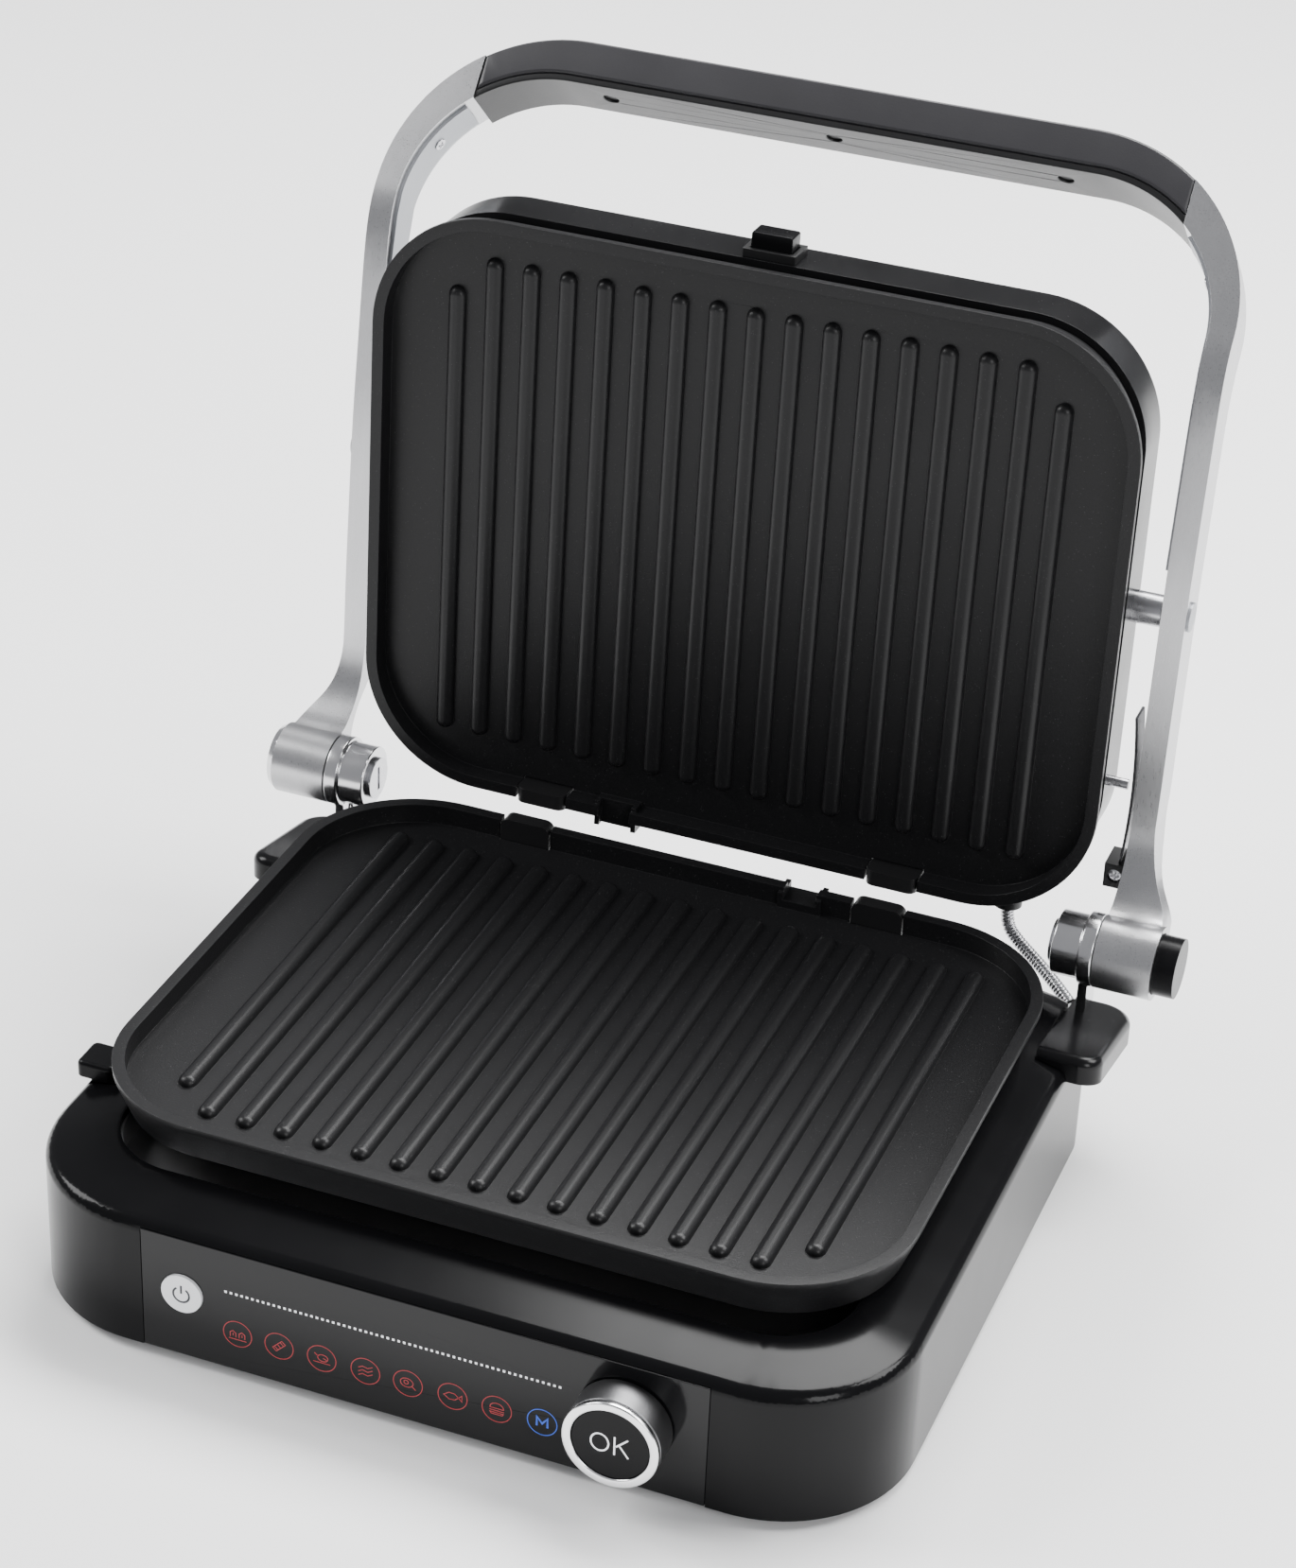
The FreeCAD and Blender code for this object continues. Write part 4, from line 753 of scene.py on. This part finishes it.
@dataclass
class ControlPanel:
    """The printed front panel with its key and knob."""

    nodes: dict[str, Any]
    icon_radius: float = 5.3 * MM
    icon_row: float = 20.0 * MM
    icon_at: tuple[float, ...] = (-66.9, -51.3, -35.4, -19.2, -3.6, 12.7, 28.7, 45.0)
    dots: int = 62
    dot_from: float = -71.0 * MM
    dot_to: float = 51.0 * MM
    dot_row: float = 36.9 * MM
    dot_size: float = 0.9 * MM
    icon_line: float = 0.34 * MM
    bold_line: float = 0.75 * MM
    mark_line: float = 0.6 * MM
    power_radius: float = 3.0 * MM
    letter_radius: float = 3.1 * MM
    letter_half: float = 3.75 * MM

    def make(self) -> None:
        """Dress the controls and print the panel."""
        dress(["power_button"], WHITE_KEY, self.nodes, 0.5)
        dress(["knob_body"], KNOB_SIDE, self.nodes, 0.4)
        dress(["knob_ring"], BRIGHT, self.nodes, 0.6)
        dress(["ok_button"], GLASS_BLACK, self.nodes, 0.5)
        self.print_dots()
        self.print_icons()
        self.print_keys()

    def front(self) -> float:
        """Return the panel's front face, as Y."""
        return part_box("control_panel")[0].y

    def print_dots(self) -> None:
        """Print the dotted line over the programmes."""
        size = self.dot_size
        marks = Ribbons(self.front(), size)
        for i in range(self.dots):
            x = self.dot_from + (self.dot_to - self.dot_from) * i / (self.dots - 1)
            marks.line([(x - size / 2, self.dot_row), (x + size / 2, self.dot_row)])
        marks.build("dotted_scale", INK_WHITE, "base", "button_white")

    def print_icons(self) -> None:
        """Print a ringed symbol for each programme."""
        for dish, x in zip(Dish, self.icon_at):
            marks = Ribbons(self.front(), self.icon_line)
            x *= MM
            marks.ring(x, self.icon_row, self.icon_radius, steps=48)
            self.symbol(marks, dish, x, self.icon_row, self.icon_radius)
            finish = INK_BLUE if dish is Dish.MANUAL else INK_RED
            marks.build("programme_" + dish.name.lower(), finish, "base", "button_white")

    def symbol(self, marks: Ribbons, dish: Dish, x: float, z: float, r: float) -> None:
        """Add one programme's symbol.

        Args:
            marks: The lines to add to.
            dish: The programme.
            x: The ring's centre.
            z: The ring's centre.
            r: The ring's radius.
        """
        def line(*points: Point2, closed: bool = False) -> None:
            """Add a line in shares of the radius."""
            marks.line([(x + a * r, z + b * r) for a, b in points], closed)

        def ring(a: float, b: float, radius: float, **kind: Any) -> None:
            """Add a ring in shares of the radius."""
            marks.ring(x + a * r, z + b * r, radius * r, steps=18, **kind)

        if dish is Dish.TOAST:
            for a in (-0.32, 0.32):
                line((a - 0.2, -0.3), (a - 0.2, 0.05), (a, 0.2), (a + 0.2, 0.05), (a + 0.2, -0.3))
                line((a, -0.2), (a, 0.02))
            line((-0.62, -0.45), (0.62, -0.45))
        elif dish is Dish.SAUSAGE:
            line((-0.45, -0.2), (-0.2, -0.45), (0.45, 0.2), (0.2, 0.45), closed=True)
            for a in (-0.2, 0.0, 0.2):
                line((a - 0.1, a + 0.1), (a + 0.1, a - 0.1))
        elif dish is Dish.POULTRY:
            ring(0.08, 0.05, 0.36, squash=0.75)
            line((-0.25, 0.12), (-0.5, 0.35))
            line((-0.6, -0.35), (0.6, -0.35))
            line((0.1, 0.05), (0.35, -0.05))
        elif dish is Dish.BACON:
            for b in (-0.3, 0.0, 0.3):
                line((-0.5, b - 0.12), (-0.2, b + 0.06), (0.15, b - 0.04), (0.5, b + 0.16))
        elif dish is Dish.STEAK:
            ring(-0.08, 0.05, 0.44, squash=0.8)
            ring(-0.12, 0.08, 0.15)
            line((0.3, -0.18), (0.55, -0.4))
        elif dish is Dish.FISH:
            line((-0.6, 0.0), (-0.25, 0.26), (0.15, 0.24), (0.42, 0.0), (0.15, -0.24), (-0.25, -0.26),
                 closed=True)
            line((0.42, 0.0), (0.64, 0.24), (0.64, -0.24), closed=True)
        elif dish is Dish.BURGER:
            ring(0.0, 0.1, 0.46, start=0, sweep=180, squash=0.8)
            line((-0.5, 0.06), (0.5, 0.06))
            line((-0.5, -0.12), (0.5, -0.12))
            line((-0.46, -0.28), (-0.38, -0.42), (0.38, -0.42), (0.46, -0.28), closed=True)
        else:
            marks.width = self.bold_line
            line((-0.36, -0.36), (-0.36, 0.36), (0.0, -0.1), (0.36, 0.36), (0.36, -0.36))

    def print_keys(self) -> None:
        """Mark the power key and the knob's centre."""
        low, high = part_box("power_button")
        x, z = (low.x + high.x) / 2, (low.z + high.z) / 2
        power = Ribbons(low.y, self.bold_line)
        power.ring(x, z - 0.2 * MM, self.power_radius, start=125, sweep=290, steps=30)
        power.line([(x, z + 0.3 * MM), (x, z + 3.7 * MM)])
        power.build("power_symbol", INK_GREY, "power_key", "button_white")
        low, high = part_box("ok_button")
        x, z = (low.x + high.x) / 2, (low.z + high.z) / 2
        word = Ribbons(low.y, self.mark_line)
        word.ring(x - 3.7 * MM, z, self.letter_radius, squash=1.12, steps=36)
        left = x + 1.5 * MM
        tall = self.letter_half
        word.line([(left, z - tall), (left, z + tall)])
        word.line([(left + 4.6 * MM, z + tall), (left + 0.5 * MM, z - 0.2 * MM)])
        word.line([(left + 1.5 * MM, z + 0.8 * MM), (left + 4.9 * MM, z - tall)])
        word.build("confirm_mark", INK_WHITE, "ok_key", "button_white")


@dataclass
class CookingPlates:
    """The two ribbed plates."""

    nodes: dict[str, Any]

    def make(self) -> None:
        """Dress both plates."""
        dress(["lower_grill_plate", "upper_grill_plate"], COATING, self.nodes, 0.7)


@dataclass
class Lid:
    """The lid's frame, cover, heater, hooks and float pins."""

    nodes: dict[str, Any]

    def make(self) -> None:
        """Dress the lid."""
        dress(["lid_frame"], FRAME_BLACK, self.nodes, 0.8)
        dress(["lid_cover"], LID_STEEL, self.nodes, 0.5)
        dress(["upper_heat_reflector", "upper_heater_clips"], SHEET_STEEL, self.nodes)
        dress(["upper_heating_element"], HEATER_SKIN, self.nodes)
        dress(["upper_plate_hooks"], SATIN_BLACK, self.nodes, 1.0)
        dress(["upper_release_button"], KEY_BLACK, self.nodes, 0.9)
        dress(["release_collar", "conduit_boot"], SATIN_BLACK, self.nodes, 0.5)
        dress(["float_pin_left", "float_pin_right", "tilt_guide_pin"], STEEL, self.nodes, 0.5)


@dataclass
class Sheath:
    """The wound steel sheath that carries the lid's wires to the base."""

    radius: float = 2.5 * MM
    pitch: float = 1.5 * MM
    upper: float = 10 * MM
    around: int = 16
    top_inset: float = 2.7 * MM
    foot_inset: float = 2.1 * MM
    foot_rise: float = 1.7 * MM
    from_top: tuple[tuple[float, ...], ...] = ((0, 0, -0.2), (0, -0.4, -8), (3, -2, -15))
    from_foot: tuple[tuple[float, ...], ...] = ((-11, 9, 5.5), (0, 0, 1.0))

    def route(self) -> list[tuple[float, ...]]:
        """Return the points that shape the sheath's middle, from the boot down."""
        low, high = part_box("lid_conduit")
        top = (low.x + self.top_inset, high.y - self.top_inset, high.z)
        foot = (high.x - self.foot_inset, low.y + self.foot_inset, low.z + self.foot_rise)
        steps = [(top, step) for step in self.from_top] + [(foot, step) for step in self.from_foot]
        return [tuple(a + b * MM for a, b in zip(end, step)) for end, step in steps]

    def make(self) -> None:
        """Build the sheath in two lengths."""
        curve = bpy.data.curves.new("sheath_line", "CURVE")
        curve.dimensions = "3D"
        curve.resolution_u = 6
        route = self.route()
        line = curve.splines.new("NURBS")
        line.points.add(len(route) - 1)
        for point, place in zip(line.points, route):
            point.co = (*place, 1.0)
        line.order_u = 3
        line.use_endpoint_u = True
        holder = bpy.data.objects.new("sheath_line", curve)
        bpy.context.scene.collection.objects.link(holder)
        bpy.context.view_layer.update()
        flat = bpy.data.meshes.new_from_object(holder)
        spots = [v.co.copy() for v in flat.vertices]
        bpy.data.objects.remove(holder)
        if spots[0].z < spots[-1].z:
            spots.reverse()
        reach = [abs((spot - spots[0]).length - self.upper) for spot in spots]
        split = reach.index(min(reach))
        for name, part, low, high in (
            ("wire_sheath_upper", spots[:split + 1], "arms", "lid"),
            ("wire_sheath_lower", spots[split:], "base", "arms"),
        ):
            verts, faces = self.winding(part)
            item = new_piece(name, verts, faces, STEEL, True)
            if low == "base":
                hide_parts("lid_conduit")
            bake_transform(item)
            LOG.info("built %s", name)

    def winding(self, spots: list[Vector]) -> tuple[list[Vector], list[tuple[int, ...]]]:
        """Return a ribbed tube along some points.

        Args:
            spots: The tube's middle.

        Returns:
            Its points and faces.
        """
        lengths = [0.0]
        for a, b in zip(spots, spots[1:]):
            lengths.append(lengths[-1] + (b - a).length)
        total = lengths[-1]
        rings = int(total / (self.pitch / 4))
        verts: list[Vector] = []
        side = Vector((0, 1, 0))
        for i in range(rings + 1):
            s = total * i / rings
            k = max(j for j in range(len(lengths)) if lengths[j] <= s + 1e-9)
            k = min(k, len(spots) - 2)
            along = (spots[k + 1] - spots[k]).normalized()
            here = spots[k] + along * (s - lengths[k])
            side = (side - along * side.dot(along)).normalized()
            other = along.cross(side)
            radius = self.radius * (1 + 0.07 * math.cos(2 * math.pi * s / self.pitch))
            for j in range(self.around):
                q = 2 * math.pi * j / self.around
                verts.append(here + (side * math.cos(q) + other * math.sin(q)) * radius)
        return verts, tube_faces(rings, self.around)


@dataclass
class Coil:
    """The spring behind the hinge release button."""

    wire: float = 0.45 * MM
    pitch: float = 2.6 * MM
    steps: int = 24
    around: int = 8

    def make(self) -> None:
        """Wind the spring."""
        low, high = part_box("release_spring")
        radius = (high.y - low.y) / 2 - self.wire
        y, z = (low.y + high.y) / 2, (low.z + high.z) / 2
        x0, length = low.x + self.wire, high.x - low.x - 2 * self.wire
        count = int(length / self.pitch * self.steps)
        verts: list[Vector] = []
        for i in range(count + 1):
            q = 2 * math.pi * i / self.steps
            out = Vector((0, math.cos(q), math.sin(q)))
            middle = Vector((x0 + length * i / count, y, z)) + out * radius
            for j in range(self.around):
                a = 2 * math.pi * j / self.around
                rim = out * math.cos(a) + Vector((1, 0, 0)) * math.sin(a)
                verts.append(middle + rim * self.wire)
        faces = tube_faces(count, self.around)
        item = new_piece("release_coil", verts, faces, STEEL, True)
        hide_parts("release_spring")
        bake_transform(item)
        LOG.info("wound release_coil")


@dataclass
class ScrewHead:
    """A domed screw head with a cross recess."""

    radius: float
    height: float
    around: int = 48
    across: int = 16
    fall: float = 0.45
    slot_half: float = 0.13
    slot_reach: float = 0.62
    slot_depth: float = 0.62
    side_end: float = 1.25
    tip_end: float = 1.1
    slope: float = 0.25

    def build(self, name: str, at: Vector, facing: Vector, finish: Finish) -> bpy.types.Object:
        """Make the head.

        Args:
            name: Its name.
            at: The middle of its underside.
            facing: Which way its top faces.
            finish: What it is made of.

        Returns:
            The head, standing at its place.
        """
        verts = [Vector((0, 0, self.level(0, 0)))]
        faces: list[tuple[int, ...]] = []
        for i in range(1, self.across + 1):
            r = self.radius * i / self.across
            for j in range(self.around):
                q = 2 * math.pi * j / self.around
                x, y = r * math.cos(q), r * math.sin(q)
                verts.append(Vector((x, y, self.level(x, y))))
        n = self.around
        for j in range(n):
            faces.append((0, 1 + j, 1 + (j + 1) % n))
        for i in range(self.across - 1):
            for j in range(n):
                a, b = 1 + i * n + j, 1 + i * n + (j + 1) % n
                faces.append((a, a + n, b + n, b))
        rim = len(verts)
        for j in range(n):
            q = 2 * math.pi * j / n
            verts.append(Vector((self.radius * math.cos(q), self.radius * math.sin(q), 0)))
        edge = 1 + (self.across - 1) * n
        for j in range(n):
            faces.append((edge + j, rim + j, rim + (j + 1) % n, edge + (j + 1) % n))
        faces.append(tuple(rim + j for j in reversed(range(n))))
        turn = facing.to_track_quat("Z", "Y").to_matrix().to_4x4()
        place = Matrix.Translation(at) @ turn
        return new_piece(name, [place @ v for v in verts], faces, finish, True)

    def level(self, x: float, y: float) -> float:
        """Return the head's height at a place, the recess included.

        Args:
            x: The place across the head.
            y: The place along the head.

        Returns:
            The height over the underside.
        """
        r = math.hypot(x, y) / self.radius
        dome = self.height * (1 - self.fall * r ** 3)
        across = min(abs(x), abs(y)) / (self.slot_half * self.radius)
        along = max(abs(x), abs(y)) / (self.slot_reach * self.radius)
        fade = 1.0
        for share, end in ((across, self.side_end), (along, self.tip_end)):
            fade *= min(1.0, max(0.0, (end - share) / self.slope))
        return dome - self.slot_depth * self.height * fade


@dataclass
class Arms:
    """The two arms with their covers, plugs, guide leaf and release button."""

    nodes: dict[str, Any]
    cover_radius: float = 2.4 * MM
    cover_height: float = 0.8 * MM
    # 27 degrees in the arms' plane, which leans 42 degrees
    cover_facing: tuple[float, float, float] = (0.8910, -0.3037, -0.3373)

    def make(self) -> None:
        """Dress the arms and set their screws."""
        dress(["arm_left", "arm_right"], ARM_METAL, self.nodes, 0.9)
        dress(["hinge_end_cap"], HINGE_METAL, self.nodes, 0.6)
        dress(["arm_cover_left", "arm_cover_right"], COVER_GREY, self.nodes, 0.4)
        dress(["float_plug_left", "float_plug_right"], COVER_GREY, self.nodes, 0.4)
        dress(["tilt_leaf"], DARK_STEEL, self.nodes)
        dress(["tilt_leaf_block"], SATIN_BLACK, self.nodes, 0.8)
        dress(["hinge_release_button"], KEY_BLACK, self.nodes, 1.2)
        self.set_screws()

    def set_screws(self) -> None:
        """Put cross-head screws where the plain heads are."""
        low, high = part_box("tilt_leaf_screw")
        middle = (low + high) / 2
        head = ScrewHead((high.x - low.x) / 2, high.y - low.y)
        seat = Vector((middle.x, high.y, middle.z))
        item = head.build("leaf_clamp_screw", seat, Vector((0, -1, 0)), STEEL)
        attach(item, "arms")
        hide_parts("tilt_leaf_screw")
        whole = self.nodes["arm_cover_screws"].data.vertices
        for name, side in (("left", -1), ("right", 1)):
            spots = [v.co for v in whole if v.co.x * side > 0]
            centre = sum(spots, Vector()) / len(spots)
            inward, forward, down = self.cover_facing
            facing = Vector((-side * inward, forward, down))
            head = ScrewHead(self.cover_radius, self.cover_height)
            seat = centre - facing * self.cover_height / 2
            item = head.build("cover_screw_" + name, seat, facing, STEEL)
            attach(item, "arms")
            if side < 0:
                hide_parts("arm_cover_screws")


@dataclass
class Grip:
    """The bar between the arms, with its lining and screws."""

    nodes: dict[str, Any]

    def make(self) -> None:
        """Dress the grip."""
        dress(["grip_shell"], GRIP_BLACK, self.nodes, 1.3)
        dress(["grip_lining"], LINING_BLACK, self.nodes, 0.5)
        dress(["grip_screws"], SATIN_BLACK, self.nodes, 0.3)


@dataclass
class Studio:
    """The floor, the lamps and the camera."""

    edge: float = 9.0
    focal: float = 87.7
    seat: tuple[float, float, float] = (0.4063, -1.09005, 0.8489)
    turn: tuple[float, float, float] = (59.0907, -2.0739, 21.5013)

    def make(self) -> None:
        """Set up the floor, the light and the camera."""
        signs = ((-1, -1), (1, -1), (1, 1), (-1, 1))
        corners = [Vector((a * self.edge, b * self.edge, 0)) for a, b in signs]
        floor = new_piece("studio_floor", corners, [(0, 1, 2, 3)], FLOOR)
        self.sky()
        self.lamp("overhead_rear", (0.15, 1.0, 1.9), (0.0, 0.0, 0.12), (1.5, 1.0), 85)
        self.lamp("left_high", (-1.7, -0.3, 1.5), (0.0, 0.0, 0.15), (0.9, 1.1), 45)
        self.lamp("front_right", (1.5, -1.25, 0.95), (0.1, -0.15, 0.05), (0.7, 0.9), 18)
        self.lamp("right_high", (1.3, 0.5, 1.5), (0.1, 0.0, 0.2), (0.9, 0.9), 40)
        self.camera()

    def sky(self) -> None:
        """Light everything evenly from all round."""
        world = bpy.data.worlds.new("studio_world")
        world.use_nodes = True
        back = world.node_tree.nodes["Background"]
        back.inputs["Color"].default_value = (0.95, 0.96, 1.0, 1.0)
        back.inputs["Strength"].default_value = 0.42
        bpy.context.scene.world = world

    def lamp(self, name: str, place: Sequence[float], aim: Sequence[float],
             size: tuple[float, float], watts: float) -> None:
        """Add a soft box.

        Args:
            name: Its name.
            place: Where it hangs.
            aim: What it faces.
            size: Its width and height, in metres.
            watts: Its power.
        """
        light = bpy.data.lights.new(name, "AREA")
        light.shape = "RECTANGLE"
        light.size, light.size_y = size
        light.energy = watts
        item = bpy.data.objects.new(name, light)
        item.location = place
        item.rotation_euler = (Vector(aim) - Vector(place)).to_track_quat("-Z", "Y").to_euler()
        bpy.context.scene.collection.objects.link(item)

    def camera(self) -> None:
        """Place the camera."""
        view = bpy.data.cameras.new("camera")
        view.lens = self.focal
        view.sensor_width = 36.0
        view.sensor_fit = "AUTO"
        view.clip_end = 50.0
        item = bpy.data.objects.new("camera", view)
        item.location = self.seat
        item.rotation_euler = tuple(math.radians(q) for q in self.turn)
        bpy.context.scene.collection.objects.link(item)
        bpy.context.scene.camera = item


def main() -> None:
    """Build every piece around the frame."""
    logging.basicConfig(level=logging.INFO, format="%(name)s: %(message)s")
    for item in list(bpy.data.objects):
        bpy.data.objects.remove(item)
    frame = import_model()
    nodes = frame["nodes"]
    makers: list[Callable[[], None]] = [
        Studio().make, Base(nodes).make, ControlPanel(nodes).make, CookingPlates(nodes).make,
        Lid(nodes).make, Sheath().make, Coil().make, Arms(nodes).make, Grip(nodes).make,
    ]
    for maker in makers:
        maker()


if __name__ == "__main__":
    main()
